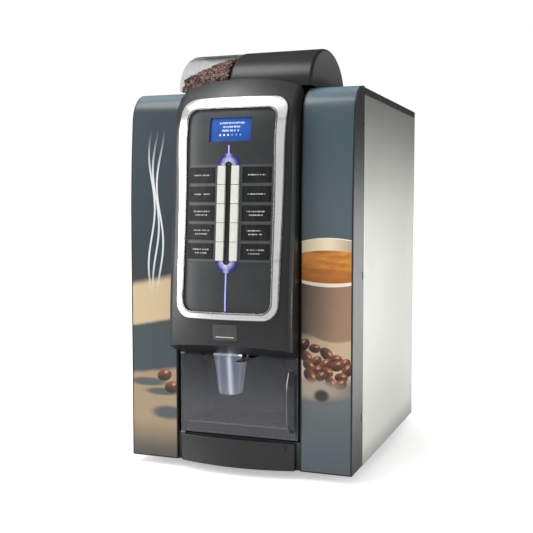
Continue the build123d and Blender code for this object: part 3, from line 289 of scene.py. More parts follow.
def cup_shade(s, body):
    """A vending cup with painted light: a darker body, a soft upright painted highlight on one side and a
    fainter one on the other, a painted bright band under its rim and a painted glow over it all.
    """
    across = s.across - CUP_MIDDLE
    # painted highlights: a soft upright streak right of the cup's middle and a fainter one to its left
    gleam = (across - GLEAM_RIGHT).within(4, 9) * 0.9 + (across - GLEAM_LEFT).within(2, 6) * 0.35
    # a painted bright band under the rim, as glow
    band = (s.up - CUP_BAND).within(1.5, 2) * 0.25
    # a darker body under the painted highlights, and painted glow from the highlights, the band and the whole
    # cup
    return s.mix(scaled(body, 0.72), (1, 1, 1, 1), gleam), gleam * 1.3 + band + CUP_GLOW, 0.0


def see_through(name, tint, body, clear, edge, roughness=0.05, rim=0.35, paint=None):
    """A clear plastic: a tinted view through it, a little body colour, its own reflection and a painted
    highlight on its edges; its paint may add more painted marks and glow.
    """
    s = Shader(name)
    glow, veil = 0.0, 0.0
    if paint is not None:
        body, glow, veil = paint(s, body)
    weight = s.add("ShaderNodeLayerWeight")
    weight.inputs["Blend"].default_value = 0.35
    facing = Field(s, weight.outputs["Facing"])
    cloud = s.noise(0.04, 3.0).rise(0.3, 0.7)
    view = s.add("ShaderNodeBsdfTransparent")
    s.feed(view.inputs[0], s.mix(tint, edge, facing.rise(0.45, 0.98)))
    rough = cloud * 0.06 + roughness
    rounded = s.rounded_normal(0.0012)
    # painted highlight: the edges lighten the body colour and thicken its cover
    wear_and_glint = s.edge_mask(rounded, 0.8)
    body = s.mix(body, shade(214, 216, 220), wear_and_glint)
    normal = s.bumped(s.noise(0.0012), 0.00001, rounded)
    shell = s.principled(body, rough, normal, Emission_Color=body, Emission_Strength=glow)
    cover = cloud * 0.04 + facing.rise(0.3, 1.0) * rim + wear_and_glint * 0.4 + (1 - clear) + veil
    lit = Field(s, s.add("ShaderNodeLightPath").outputs["Is Shadow Ray"]) * -0.7 + 1
    return s.done(s.blend_shaders(view.outputs[0], shell, cover * lit))


# ---- Printed graphics: a cup and coffee beans on a table, in soft focus. Places in millimetres ----
PRINT_WOBBLE = 6.0
ROLL_HIGHLIGHT = (706, 727)
PANEL_OUTSIDE = 222

# left panel: the heights where each band starts and the bands' slopes, from the panel's outer edge
LEFT_SKY = (340, 640)
STRIP_TOP = (366, 350)
STRIP_SLOPE = 0.2
SHADED_TOP = (280, 272)
SHADED_SLOPE = 0.19
SANDY_TOP = (186, 176)
SANDY_SLOPE = 0.15
LEFT_FOOT = (100, 20)
# its table's shadows as (centre, half sizes), its beans as (centre, turn, blur), and the steam
LEFT_SHADOWS = (((-190, 165), (38, 8)), ((-158, 147), (36, 7)), ((-146, 106), (34, 13)))
LEFT_BEANS = (((-154, 180), 0.3, 0.1), ((-138, 157), 0.2, 0.12))
LEFT_BEAN_SIZE = 16
STRANDS = 3
STRAND_FIRST = -180
STRAND_PITCH = 9.0
STRAND_SWING = 7.0
STRAND_WAVE = 0.028
STRAND_LAG = 0.9
STRAND_FOOT = (330, 400)
STRAND_TIP = (665, 560)

# right panel: the heights of its sky, its table and the table's front
RIGHT_SKY = (455, 640)
TABLE_TOP = (282, 262)
TABLE_EDGE = (206, 176)
TABLE_FRONT = (20, 190)
# its cup's ellipses as (centre, half sizes), and the scatter of beans below the cup
PRINT_BODY = ((192, 402), (108, 140))
PRINT_RIM = ((180, 408), (101, 45))
PRINT_CREAM = ((180, 410), (98, 41))
PRINT_COFFEE = ((180, 400), (91, 30))
SCATTER_SEED = 5
SCATTER_ROWS = 4
SCATTER_COLUMNS = 5
SCATTER_FIRST = (131, 253)
SCATTER_PITCH = (21, 17)
SCATTER_SLANT = (4, 7)
SCATTER_SHIFT = 4
SCATTER_SIZE = (11.5, 14.5)
SCATTER_TURN = 0.9
SAND_PATCH = ((150, 172), (60, 16))
FAR_BEAN = ((167, 162), (14, 11))


def ellipse(s, centre, half, soft, turn=0.0):
    """A soft-edged ellipse on the front, and the height across it from -1 to 1. Sizes in millimetres."""
    across = s.across - centre[0]
    up = s.up - centre[1]
    c, k = math.cos(turn), math.sin(turn)
    u = (across * c + up * k) / half[0]
    v = (up * c - across * k) / half[1]
    distance = (u * u + v * v).math("SQRT")
    return distance.rise(1 + soft, 1 - soft), u, v


def printed_bean(s, under, centre, size, turn, blur):
    """A roasted bean in the print: a brown oval lit from the upper left, with its dark seam."""
    mask, u, v = ellipse(s, centre, (size, size * 0.72), blur, turn)
    lit = (v * 0.8 + u * 0.4).rise(-0.7, 1.1)
    colour = s.mix(shade(34, 16, 9), shade(150, 78, 38), lit)
    gleam = ((u - 0.35) * (u - 0.35) + (v - 0.4) * (v - 0.4)).math("SQRT").rise(0.45, 0.0)
    colour = s.mix(colour, shade(236, 186, 140), gleam * 0.7)
    seam = (v - (u * 3.0).sine() * 0.12).within(0.09, 0.12 + blur)
    colour = s.mix(colour, shade(26, 12, 7), seam * 0.8)
    return s.mix(under, colour, mask)


def left_print(s, up):
    """Sky, a sunlit strip, a shaded strip and a sandy table with beans, under three strands of steam."""
    sky = s.mix(shade(32, 43, 50), shade(30, 49, 58), s.up.rise(*LEFT_SKY))
    outer = s.across + PANEL_OUTSIDE
    left = s.paint(
        sky,
        (shade(212, 188, 148), (up - outer * STRIP_SLOPE).rise(*STRIP_TOP)),
        (shade(56, 68, 74), (up - outer * SHADED_SLOPE).rise(*SHADED_TOP)),
        (shade(168, 146, 114), (up - outer * SANDY_SLOPE).rise(*SANDY_TOP)),
        (shade(82, 78, 72), up.rise(*LEFT_FOOT)),
    )
    for centre, half in LEFT_SHADOWS:
        shadow, _, _ = ellipse(s, centre, half, 0.35)
        left = s.mix(left, shade(64, 76, 84), shadow * 0.9)
    for centre, turn, blur in LEFT_BEANS:
        left = printed_bean(s, left, centre, LEFT_BEAN_SIZE, turn, blur)
    rising = s.up.rise(*STRAND_FOOT) * s.up.rise(*STRAND_TIP)
    for strand in range(STRANDS):
        curl = (s.up * STRAND_WAVE + strand * STRAND_LAG).sine() * STRAND_SWING
        line = (s.across - (STRAND_FIRST + strand * STRAND_PITCH) - curl).within(1.8, 1.4)
        left = s.mix(left, shade(235, 238, 240), line * rising * 0.9)
    return left


def right_print(s, up):
    """A filled cup above a scatter of beans on the table."""
    right = s.mix(shade(80, 94, 99), shade(62, 82, 91), s.up.rise(*RIGHT_SKY))
    right = s.mix(right, shade(205, 180, 148), up.rise(*TABLE_TOP))
    table_front = s.mix(shade(75, 88, 94), shade(102, 107, 107), up.rise(*TABLE_FRONT))
    right = s.mix(right, table_front, up.rise(*TABLE_EDGE))
    body, u, v = ellipse(s, *PRINT_BODY, 0.02)
    body_colour = s.mix(shade(74, 66, 60), shade(166, 132, 105), (u - v * 0.2).rise(-0.8, 0.4))
    right = s.mix(right, body_colour, body * v.rise(0.05, 0.0))
    rim, u, _ = ellipse(s, *PRINT_RIM, 0.012)
    cream = s.mix(shade(250, 232, 198), shade(172, 146, 126), u.rise(-0.1, 0.6))
    right = s.mix(right, shade(250, 242, 226), rim)
    inner, _, _ = ellipse(s, *PRINT_CREAM, 0.012)
    right = s.mix(right, cream, inner)
    coffee, _, v = ellipse(s, *PRINT_COFFEE, 0.02)
    swirl = s.noise(0.02, 3.0, (2.0, 1.0, 0.5)).rise(0.3, 0.7)
    brew = s.mix(shade(176, 102, 22), shade(226, 148, 54), swirl * v.rise(-1.0, 0.3))
    right = s.mix(right, brew, coffee)
    scatter = random.Random(SCATTER_SEED)
    first_x, first_z = SCATTER_FIRST
    for row in range(SCATTER_ROWS):
        for column in range(SCATTER_COLUMNS - row // 2):
            centre_x = first_x + column * SCATTER_PITCH[0] + row * SCATTER_SLANT[0]
            centre_x += scatter.uniform(-SCATTER_SHIFT, SCATTER_SHIFT)
            centre_z = first_z - row * SCATTER_PITCH[1] - column * SCATTER_SLANT[1]
            centre_z += scatter.uniform(-SCATTER_SHIFT, SCATTER_SHIFT)
            size = scatter.uniform(*SCATTER_SIZE)
            turn = scatter.uniform(-SCATTER_TURN, SCATTER_TURN)
            right = printed_bean(s, right, (centre_x, centre_z), size, turn, 0.06)
    sand, _, _ = ellipse(s, *SAND_PATCH, 0.6)
    right = s.mix(right, shade(186, 168, 146), sand * 0.75)
    far_bean, _, _ = ellipse(s, *FAR_BEAN, 0.35)
    right = s.mix(right, shade(48, 42, 40), far_bean)
    return right


def printed_graphics():
    """The two printed panels, with a painted highlight over their rolled tops, and black on their cut edges.
    """
    s = Shader("printed_graphics")
    up = s.up + (s.noise(0.03, 2.0) - 0.5) * PRINT_WOBBLE
    colour = s.mix(left_print(s, up), right_print(s, up), s.across.rise(-1, 1))
    # painted highlight: paler over the rolled tops
    colour = s.mix(colour, shade(118, 142, 152), s.up.rise(*ROLL_HIGHLIGHT))
    tint = s.noise(0.15, 2.0).rise(0.3, 0.7)
    colour = s.mix(colour, shade(30, 40, 48), tint * 0.06)
    cut_edge = s.turned_right().absolute().rise(0.5, 0.7)
    colour = s.mix(colour, shade(16, 17, 18), cut_edge)
    fine = s.noise(0.0007)
    normal = s.bumped(fine, 0.000012, s.rounded_normal(0.0008))
    rough = s.noise(0.05, 3.0) * 0.12 + 0.3
    return s.done(s.principled(colour, rough, normal, Coat_Weight=0.15, Coat_Roughness=0.15))


# ---- Control panel print and lights. Places in millimetres ----
KEYS_MIDDLE = 497.5
CHANNEL_HALF = (5.6, 88)
LABEL_PITCH = 35
LABEL_ROW = 410
LABEL_MIDDLE = 54
TWO_LINES_BELOW = (520, 510)
DISPLAY_MIDDLE = 651
DISPLAY_HALF = (41, 22.2)
DISPLAY_DOT = 1.1
DISPLAY_WORDS = ((663, 25), (656, 17), (649, 19))
DISPLAY_LEVELS = 641
GUIDE_LINE_FROM = 108.5
GUIDE_RING_FROM = 87.5
BEZEL_INSIDE_MIDDLE = 503.5
BEZEL_INSIDE_HALF = (68, 168.5)
BEZEL_INSIDE_CORNER = 20.8
BEZEL_FOOT = 301.5
BEZEL_TALL = 412.5
BEZEL_WIDENS = 7.0
BEZEL_FOOT_HALF = 71.0
BEZEL_MIDDLE = 507.75
BEZEL_HALF_HIGH = 176.25
BEZEL_CORNER = 30


def label_print():
    """Selection cards: dark, slightly streaked, with short pale dashes in place of words."""
    s = Shader("label_card")
    row = (s.up - LABEL_ROW).wrapped(LABEL_PITCH)
    middle = s.across.absolute() - LABEL_MIDDLE
    streak = s.noise(0.02, 3.0, (0.3, 1, 2)).rise(0.3, 0.7)
    base = s.mix(shade(20, 21, 22), shade(36, 37, 38), streak)
    base = s.mix(base, shade(16, 17, 18), middle.absolute().rise(18, 27))
    strokes = s.noise(0.0016, 0.0, (1, 1, 40)).rise(0.38, 0.52)
    lower = s.up.rise(*TWO_LINES_BELOW)
    first = (row - lower * 3.2).within(1.1, 0.8) * middle.within(17, 1.0)
    second = (row + 3.4).within(1.1, 0.8) * middle.within(13, 1.0) * lower
    marks = (first + second) * strokes * 0.8
    colour = s.mix(base, shade(210, 211, 212), marks)
    normal = s.bumped(s.noise(0.0006), 0.00002, s.rounded_normal(0.0003))
    return s.done(s.principled(colour, s.noise(0.02) * 0.2 + 0.36, normal, Specular_IOR_Level=0.22))


def display_glow():
    """A blue character display: a dot grid, three rows of dashes and a row of level dots."""
    s = Shader("display")
    across, up = s.across, s.up
    cell = across.wrapped(DISPLAY_DOT).within(0.45, 0.2) * up.wrapped(DISPLAY_DOT).within(0.45, 0.2)
    glass = s.mix(shade(24, 66, 142), shade(34, 80, 160), s.noise(0.03).rise(0.3, 0.7))
    glass = s.mix(glass, shade(44, 92, 176), cell * 0.5)
    dashes = s.noise(0.0022, 0.0, (1, 1, 30)).rise(0.36, 0.5)
    rows = [(up - row).within(1.7, 0.8) * (across - 2).within(half, 0.5) for row, half in DISPLAY_WORDS]
    words = rows[0] + rows[1] + rows[2]
    level = across.wrapped(8).within(1.5, 0.6) * (up - DISPLAY_LEVELS).within(1.5, 0.6)
    level = level * (across + 1).within(25, 0.5)
    bright = s.mix(shade(120, 160, 220), shade(250, 252, 255), across.rise(3, 1))
    colour = s.mix(glass, shade(205, 222, 245), words * dashes * 0.8)
    colour = s.mix(colour, bright, level)
    face = (up - DISPLAY_MIDDLE).within(DISPLAY_HALF[1], 0.4) * across.within(DISPLAY_HALF[0], 0.4)
    colour = s.mix(shade(16, 17, 20), colour, face)
    normal = s.bumped(s.noise(0.0006), 0.000006)
    rough = s.noise(0.02) * 0.1 + 0.45
    return s.done(s.principled(
        colour, rough, normal, Emission_Color=colour, Emission_Strength=0.14, Specular_IOR_Level=0.2
    ))


def guide_glow():
    """Translucent light guides, brightest where the line joins the arch."""
    s = Shader("light_guide")
    across = s.across.absolute()
    up = (s.up - KEYS_MIDDLE).absolute()
    line = across.within(1.6, 0.6) * up.rise(GUIDE_LINE_FROM, GUIDE_LINE_FROM + 1)
    near = across.rise(22, 0) * up.rise(92, 110)
    wisp = s.noise(0.006, 3.0).rise(0.35, 0.7)
    away = up - GUIDE_RING_FROM
    ring = (across * across + away * away).math("SQRT")
    colour = s.mix(shade(40, 40, 132), shade(206, 212, 246), ring.rise(19, 9.5) * (wisp * 0.4 + 0.5))
    colour = s.mix(colour, shade(196, 202, 244), near * across.rise(9, 0) * 0.6)
    colour = s.mix(colour, shade(140, 142, 216), line)
    end = ring.rise(7.4, 6.6)
    glow = near * 0.6 + line + across.rise(18, 22) * 0.3
    colour = s.mix(colour, shade(12, 12, 20), end)
    normal = s.bumped(s.noise(0.002), 0.00003, s.rounded_normal(0.0004))
    rough = s.noise(0.01) * 0.1 + 0.15
    return s.done(s.principled(colour, rough, normal, Emission_Color=colour, Emission_Strength=glow * 0.5))


def panel_print():
    """The control panel's satin plastic, with a painted reflection towards its left edge and its black
    channel between the two rows of buttons.
    """
    s = Shader("panel_plastic")
    mottle = s.noise(0.06, 4.0).rise(0.3, 0.7)
    base = s.mix(shade(44, 46, 47), shade(52, 54, 55), mottle)
    # painted reflection: lighter towards the panel's left edge
    base = s.mix(base, shade(92, 94, 95), s.across.rise(-52, -86) * 0.6)
    channel = s.across.within(CHANNEL_HALF[0], 0.5) * (s.up - KEYS_MIDDLE).within(CHANNEL_HALF[1], 0.5)
    base = s.mix(base, shade(14, 15, 16), channel)
    fine = s.noise(0.0007)
    rough = s.noise(0.03, 3.0) * 0.12 + fine * 0.06 + 0.34
    normal = s.bumped(fine, 0.00002, s.rounded_normal(0.0005))
    return s.done(s.principled(base, rough, normal, Specular_IOR_Level=0.38))


# ---- Metals and mouldings ----
BLACK_WORN = shade(112, 112, 112)
STEEL_WORN = shade(235, 235, 232)
SIDE_BAND_MIDDLE = 330
SIDE_BAND_FADES = (120, 330)
SIDE_SHADE_TOP = (470, 760)
SIDE_SHADE_FOOT = (65, 8)


def side_steel():
    """Light coated sheet, with painted shade towards the roof and a little at the foot, and a painted
    highlight on its edges.
    """
    s = Shader("light_side_steel")
    broad = s.noise(0.3, 3.0).rise(0.3, 0.7)
    base = s.mix(shade(218, 218, 212), shade(226, 226, 220), broad)
    # painted shade, darker towards the roof and a little at the foot
    base = s.mix(base, shade(112, 113, 108), s.up.rise(*SIDE_SHADE_TOP) * 0.85)
    base = s.mix(base, shade(140, 140, 135), s.up.rise(*SIDE_SHADE_FOOT) * 0.7)
    rounded = s.rounded_normal(0.0012)
    # painted highlight along the edges
    base = s.mix(base, shade(240, 240, 236), s.edge_mask(rounded, 0.3))
    fine = s.noise(0.0012, 2.0, (1, 40, 1))
    rough = s.noise(0.2, 3.0) * 0.05 + fine * 0.03 + 0.34
    normal = s.bumped(fine, 0.000002, rounded)
    return s.done(s.principled(base, rough, normal, Metallic=0.55))


def door_steel():
    """The door's satin side band, with painted shade darkening it towards its ends."""
    s = Shader("satin_door_steel")
    ends = (s.up - SIDE_BAND_MIDDLE).absolute().rise(*SIDE_BAND_FADES)
    brushed = s.noise(0.0012, 3.0, (1, 1, 60))
    # painted shade towards the band's ends
    base = s.mix(shade(132, 133, 133), shade(32, 33, 34), ends)
    base = s.mix(base, shade(104, 105, 106), brushed.rise(0.3, 0.7) * 0.25)
    rounded = s.rounded_normal(0.0008)
    base = s.mix(base, shade(190, 190, 190), s.edge_mask(rounded, 0.4))
    rough = s.noise(0.05, 3.0) * 0.15 + brushed * 0.1 + 0.3
    return s.done(s.principled(base, rough, s.bumped(brushed, 0.00002, rounded), Metallic=0.75))


def chrome():
    """Bright plating with soft painted dark reflection streaks and painted shade on the rims where it turns
    away.
    """
    s = Shader("chrome_bezel")
    rounded = s.rounded_normal(0.004)
    geometry = s.add("ShaderNodeNewGeometry")
    dot = s.add("ShaderNodeVectorMath", operation="DOT_PRODUCT")
    s.feed(dot.inputs[0], geometry.outputs["Incoming"])
    s.feed(dot.inputs[1], rounded)
    turned_away = Field(s, dot.outputs["Value"]).absolute().rise(0.8, 0.45)
    # painted reflection: soft dark streaks in the plating
    streak = s.noise(0.05, 2.0, (1.6, 1, 0.5)).rise(0.58, 0.76)
    base = s.mix(shade(236, 236, 235), shade(96, 98, 98), streak * 0.35)
    # painted shade on the rims that turn away from the view
    base = s.mix(base, shade(70, 72, 72), turned_away)
    # a dark line where the inner rim mirrors the panel, along the panel's rounded outline
    rim = s.beyond_box(BEZEL_INSIDE_MIDDLE, *BEZEL_INSIDE_HALF) - BEZEL_INSIDE_CORNER
    base = s.mix(base, shade(58, 60, 60), rim.within(1.4, 1.2) * 0.8)
    # and a painted dark line along its outer edge, on the tapered outline of the bezel
    half = (s.up - BEZEL_FOOT) * (BEZEL_WIDENS / BEZEL_TALL) + BEZEL_FOOT_HALF
    outer = s.beyond_box(BEZEL_MIDDLE, half, BEZEL_HALF_HIGH) - BEZEL_CORNER
    base = s.mix(base, shade(52, 54, 54), outer.rise(-3.0, -1.2) * 0.85)
    rough = s.noise(0.02, 3.0) * 0.06 + 0.22
    normal = s.bumped(s.noise(0.006), 0.00004, rounded)
    return s.done(s.principled(base, rough, normal, Metallic=1.0))


def dome_shell():
    """Glossy black moulding with painted light on its end cap, stronger towards the top, so the cap reads
    greyer than its front.
    """
    s = Shader("black_dome")
    cap = s.turned_right().rise(0.7, 0.98)
    mottle = s.noise(0.1, 4.0).rise(0.3, 0.7)
    base = s.mix(shade(24, 25, 25), shade(29, 30, 30), mottle)
    # painted light on the right end cap, stronger towards the top
    base = s.mix(base, shade(100, 101, 101), cap * (s.up.rise(700, 830) * 0.5 + 0.5))
    rounded = s.rounded_normal(0.0012)
    base = s.mix(base, BLACK_WORN, s.edge_mask(rounded, 0.15))
    rough = s.noise(0.06, 3.0) * 0.06 + 0.3
    normal = s.bumped(s.noise(0.0012), 0.000008, rounded)
    return s.done(s.principled(base, rough, normal, Specular_IOR_Level=0.36))


def roasted_bean():
    """Roasted beans, each a little lighter or darker, with an oily sheen."""
    s = Shader("coffee_bean")
    each = s.noise(0.009, 1.0).rise(0.35, 0.65)
    colour = s.mix(shade(64, 38, 30), shade(168, 112, 94), each)
    colour = s.mix(colour, shade(34, 16, 11), s.noise(0.002, 3.0).rise(0.55, 0.8))
    normal = s.bumped(s.noise(0.0012, 3.0), 0.0001)
    rough = s.noise(0.004) * 0.25 + 0.22
    return s.done(s.principled(colour, rough, normal))


LOOKS = {
    "satin_door_steel": door_steel(),
    "light_side_steel": side_steel(),
    "black_trim": solid("black_trim", shade(24, 25, 25), 0.45, level=0.35, wear_and_glint=BLACK_WORN, wear=0.35),
    "charcoal_fascia": solid(
        "charcoal_fascia", shade(27, 28, 28), 0.33, vary=0.06, patch=0.12, grain=0.0007, depth=0.00002,
        wear_and_glint=BLACK_WORN, wear=0.2,
    ),
    "chrome_bezel": chrome(),
    "panel_plastic": panel_print(),
    "label_grey": solid("label_grey", shade(70, 72, 73), 0.42, vary=0.05, grain=0.0006, depth=0.00001),
    "label_card": label_print(),
    "button_white": solid(
        "button_white", shade(222, 222, 214), 0.35, vary=0.03, patch=0.02, grain=0.0008, depth=0.00001,
        soften=0.0006, wear_and_glint=shade(196, 196, 190), wear=0.5,
    ),
    "light_guide": guide_glow(),
    "display": display_glow(),
    "printed_graphics": printed_graphics(),
    "smoked_plastic": see_through(
        "smoked_plastic", shade(228, 228, 232), shade(130, 131, 136), 0.74, shade(120, 120, 124), 0.1,
        rim=0.2, paint=smoked_shade,
    ),
    "clear_plastic": see_through(
        "clear_plastic", shade(246, 246, 246), shade(120, 121, 122), 0.96, shade(70, 71, 72), 0.06, rim=0.2
    ),
    "coffee_bean": roasted_bean(),
    "bean_shadow": solid(
        "bean_shadow", shade(24, 15, 12), 0.7, vary=0.3, patch=0.006, grain=0.002, level=0.2,
    ),
    "black_dome": dome_shell(),
    "grey_plastic": solid("grey_plastic", shade(108, 110, 112), 0.5, wear_and_glint=shade(150, 150, 150), wear=0.3),
    "zinc_steel": solid(
        "zinc_steel", shade(178, 180, 180), 0.42, metal=0.9, vary=0.12, patch=0.015, wear_and_glint=STEEL_WORN,
    ),
    "polished_steel": solid(
        "polished_steel", shade(206, 206, 204), 0.22, metal=1.0, vary=0.03, stretch=(1, 1, 30),
        depth=0.00001, wear_and_glint=STEEL_WORN,
    ),
    "brass": solid("brass", shade(196, 160, 92), 0.3, metal=1.0, vary=0.12, wear_and_glint=shade(232, 206, 140)),
    "silicone": solid("silicone", shade(214, 212, 204), 0.55, vary=0.05, level=0.4),
    "foot_rubber": solid("foot_rubber", shade(34, 34, 34), 0.7, vary=0.15, grain=0.0015, depth=0.0001),
    "canister_plastic": solid("canister_plastic", shade(206, 208, 206), 0.38, vary=0.04, patch=0.08),
    "motor_black": solid("motor_black", shade(44, 45, 48), 0.45, wear_and_glint=BLACK_WORN),
}


def dress(piece, look):
    """Gives a piece one look in place of its materials."""
    piece.data.materials.clear()
    piece.data.materials.append(LOOKS[look])


WEARERS = {
    "satin_door_steel": ["door_frame"],
    "light_side_steel": ["side_panel_left", "side_panel_right"],
    "black_trim": [
        "door_columns", "roof_frame", "drip_tray", "cup_holder", "grounds_bucket", "hinge_knuckles",
    ],
    "charcoal_fascia": ["fascia", "lower_panel"],
    "chrome_bezel": ["bezel"],
    "panel_plastic": ["control_panel"],
    "label_grey": ["label_holder"],
    "label_card": ["label_cards"],
    "button_white": [name for name in nodes if name.startswith("button_")],
    "light_guide": ["light_guides"],
    "display": ["display_module"],
    "printed_graphics": ["graphic_panels"],
    "smoked_plastic": ["cup_door"],
    "clear_plastic": ["hopper_lid"],
    "coffee_bean": ["coffee_beans"],
    "black_dome": ["dome_cover"],
    "grey_plastic": ["bean_hopper", "brew_unit", "cup_dropper", "spout_head", "cup_niche"],
    "zinc_steel": ["base_pan", "bulkhead", "rear_panel"],
    "polished_steel": ["instant_boiler", "espresso_boiler", "drip_grille", "door_lock", "brew_piston"],
    "brass": ["pump", "water_inlet"],
    "silicone": ["mixer_hoses", "mixing_bowls"],
    "foot_rubber": ["levelling_feet"],
    "canister_plastic": ["canisters", "cup_turret"] + [n for n in nodes if n.startswith("auger_")],
    "motor_black": ["grinder", "mixer_motors"] + [n for n in nodes if n.startswith("whipper_")],
}
for look, members in WEARERS.items():
    for member in members:
        dress(nodes[member], look)


# ---- Mesh helpers ----
def added(name, data):
    """A new object in the scene."""
    new = bpy.data.objects.new(name, data)
    bpy.context.scene.collection.objects.link(new)
    return new


def make_piece(name, vertices, faces, body, look, smooth=True):
    """A new mesh object in the shared frame, dressed and riding on a body."""
    mesh = bpy.data.meshes.new(name)
    mesh.from_pydata([tuple(v) for v in vertices], [], [tuple(f) for f in faces])
    mesh.validate()
    mesh.update()
    for polygon in mesh.polygons:
        polygon.use_smooth = smooth
    piece = added(name, mesh)
    dress(piece, look)
    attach(piece, body)
    return piece


def turned(profile, around, steps, flute):
    """A closed ring-shaped solid from a closed outline of (radius, height), in metres, that flute ripples."""
    vertices = []
    faces = []
    for step in range(steps):
        angle = 2 * math.pi * step / steps
        for radius, height in profile:
            wide = flute(radius, height, angle)
            vertices.append((around[0] + wide * math.cos(angle), around[1] + wide * math.sin(angle), height))
    count = len(profile)
    for step in range(steps):
        following = (step + 1) % steps
        for point in range(count):
            after = (point + 1) % count
            faces.append((
                step * count + point, step * count + after,
                following * count + after, following * count + point,
            ))
    return vertices, faces


# ---- Coffee beans heaped in the hopper ----
BEAN_HALF = (4.7 * MM, 3.6 * MM, 2.7 * MM)
BEAN_SPACING = 5.5 * MM
BEAN_SINK = 2.3 * MM
BEAN_TRIES = 12000
BEAN_BACK = 0.62
BEAN_SEAM_DEEP = 0.34
BEAN_SEAM_WIDE = 0.2
BEAN_SIZES = (0.88, 1.04)
BEAN_TILT = 0.5
BEAN_SEGMENTS = 10
BEAN_RINGS = 8
SPOT_SEED = 11
LIE_SEED = 3
HEAP_VISIBLE = 733 * MM
HEAP_STEEPEST = -0.2
NO_AREA = 1e-12
CORE_INSET = 3.2 * MM
CORE_JOIN = 0.01 * MM


def bean_shape():
    """One coffee bean: a domed back, a flatter face and the seam along it."""
    segments, rings = BEAN_SEGMENTS, BEAN_RINGS
    vertices = [(0, 0, 1)]
    for ring in range(1, rings):
        tilt = math.pi * ring / rings
        for segment in range(segments):
            turn = 2 * math.pi * segment / segments
            wide = math.sin(tilt)
            vertices.append((wide * math.cos(turn), wide * math.sin(turn), math.cos(tilt)))
    vertices.append((0, 0, -1))
    shaped = []
    for x, y, z in vertices:
        height = z * (BEAN_BACK if z > 0 else 1.0)
        if z > 0:
            height -= BEAN_SEAM_DEEP * math.exp(-((y / BEAN_SEAM_WIDE) ** 2)) * z
        shaped.append((x * BEAN_HALF[0], y * BEAN_HALF[1], height * BEAN_HALF[2]))
    faces = []
    for segment in range(segments):
        after = (segment + 1) % segments
        faces.append((0, 1 + segment, 1 + after))
        for ring in range(rings - 2):
            low = 1 + ring * segments
            high = low + segments
            faces.append((low + segment, high + segment, high + after, low + after))
        last = 1 + (rings - 2) * segments
        faces.append((last + segment, len(vertices) - 1, last + after))
    return np.array(shaped), faces


def heap_points(mesh):
    """Evenly scattered places on the heap's visible surface, with the surface direction at each."""
    mesh.calc_loop_triangles()
    corners = np.array([[mesh.vertices[i].co for i in t.vertices] for t in mesh.loop_triangles])
    sides = np.cross(corners[:, 1] - corners[:, 0], corners[:, 2] - corners[:, 0])
    areas = np.linalg.norm(sides, axis=1)
    keep = (corners[:, :, 2].max(axis=1) > HEAP_VISIBLE) & (areas > NO_AREA)
    corners, sides, areas = corners[keep], sides[keep], areas[keep]
    chance = np.random.default_rng(SPOT_SEED)
    picked = chance.choice(len(areas), size=BEAN_TRIES, p=areas / areas.sum())
    first, second = chance.random((2, BEAN_TRIES))
    outside = first + second > 1
    first[outside], second[outside] = 1 - first[outside], 1 - second[outside]
    triangles = corners[picked]
    spots = triangles[:, 0] + first[:, None] * (triangles[:, 1] - triangles[:, 0])
    spots = spots + second[:, None] * (triangles[:, 2] - triangles[:, 0])
    normals = sides[picked] / areas[picked][:, None]
    chosen = []
    for index in range(BEAN_TRIES):
        if spots[index][2] < HEAP_VISIBLE or normals[index][2] < HEAP_STEEPEST:
            continue
        if chosen and np.min(np.linalg.norm(spots[chosen] - spots[index], axis=1)) < BEAN_SPACING:
            continue
        chosen.append(index)
    return spots[chosen], normals[chosen]


def heap_of_beans():
    """Separate beans laid over the heap, each turned and sized by chance."""
    spots, normals = heap_points(nodes["coffee_beans"].data)
    shape, shape_faces = bean_shape()
    draw = random.Random(LIE_SEED)
    vertices, faces = [], []
    for spot, normal in zip(spots, normals):
        outwards = Vector(normal)
        lie = outwards.to_track_quat("Z", "Y").to_matrix()
        spin = Matrix.Rotation(draw.uniform(0, 2 * math.pi), 3, "Z")
        roll = draw.choice((0.0, math.pi)) + draw.uniform(-BEAN_TILT, BEAN_TILT)
        turn = np.array(lie @ spin @ Matrix.Rotation(roll, 3, "X"))
        size = draw.uniform(*BEAN_SIZES)
        placed = (shape * size) @ turn.T + spot - normal * BEAN_SINK
        start = len(vertices)
        vertices.extend(placed)
        faces.extend(tuple(start + i for i in face) for face in shape_faces)
    make_piece("bean_heap", vertices, faces, "cabinet", "coffee_bean")


def heap_core():
    """The mass under the outer beans: the CAD heap drawn in by a bean's thickness."""
    core = bmesh.new()
    core.from_mesh(nodes["coffee_beans"].data)
    bmesh.ops.remove_doubles(core, verts=core.verts, dist=CORE_JOIN)
    bmesh.ops.recalc_face_normals(core, faces=core.faces)
    core.normal_update()
    outwards = {v.index: v.normal.copy() for v in core.verts}
    for vertex in core.verts:
        vertex.co -= outwards[vertex.index] * CORE_INSET
    mesh = bpy.data.meshes.new("bean_core")
    core.to_mesh(mesh)
    core.free()
    piece = added("bean_core", mesh)
    dress(piece, "bean_shadow")
    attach(piece, "cabinet")
    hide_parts("coffee_beans")


heap_of_beans()
heap_core()

# ---- Vending cup hanging in its holder ----
CUP_CENTRE = (CUP_MIDDLE * MM, -190 * MM)
CUP_RIM_Z = 220 * MM
CUP_HEIGHT = 78 * MM
CUP_FOOT_Z = CUP_RIM_Z - CUP_HEIGHT
CUP_STEPS = 144
RIBS = 36
RIB_DEEP = 0.35 * MM
RIBS_FROM = 0.1
RIBS_TO = 0.72
RIBS_OUTSIDE = 20 * MM
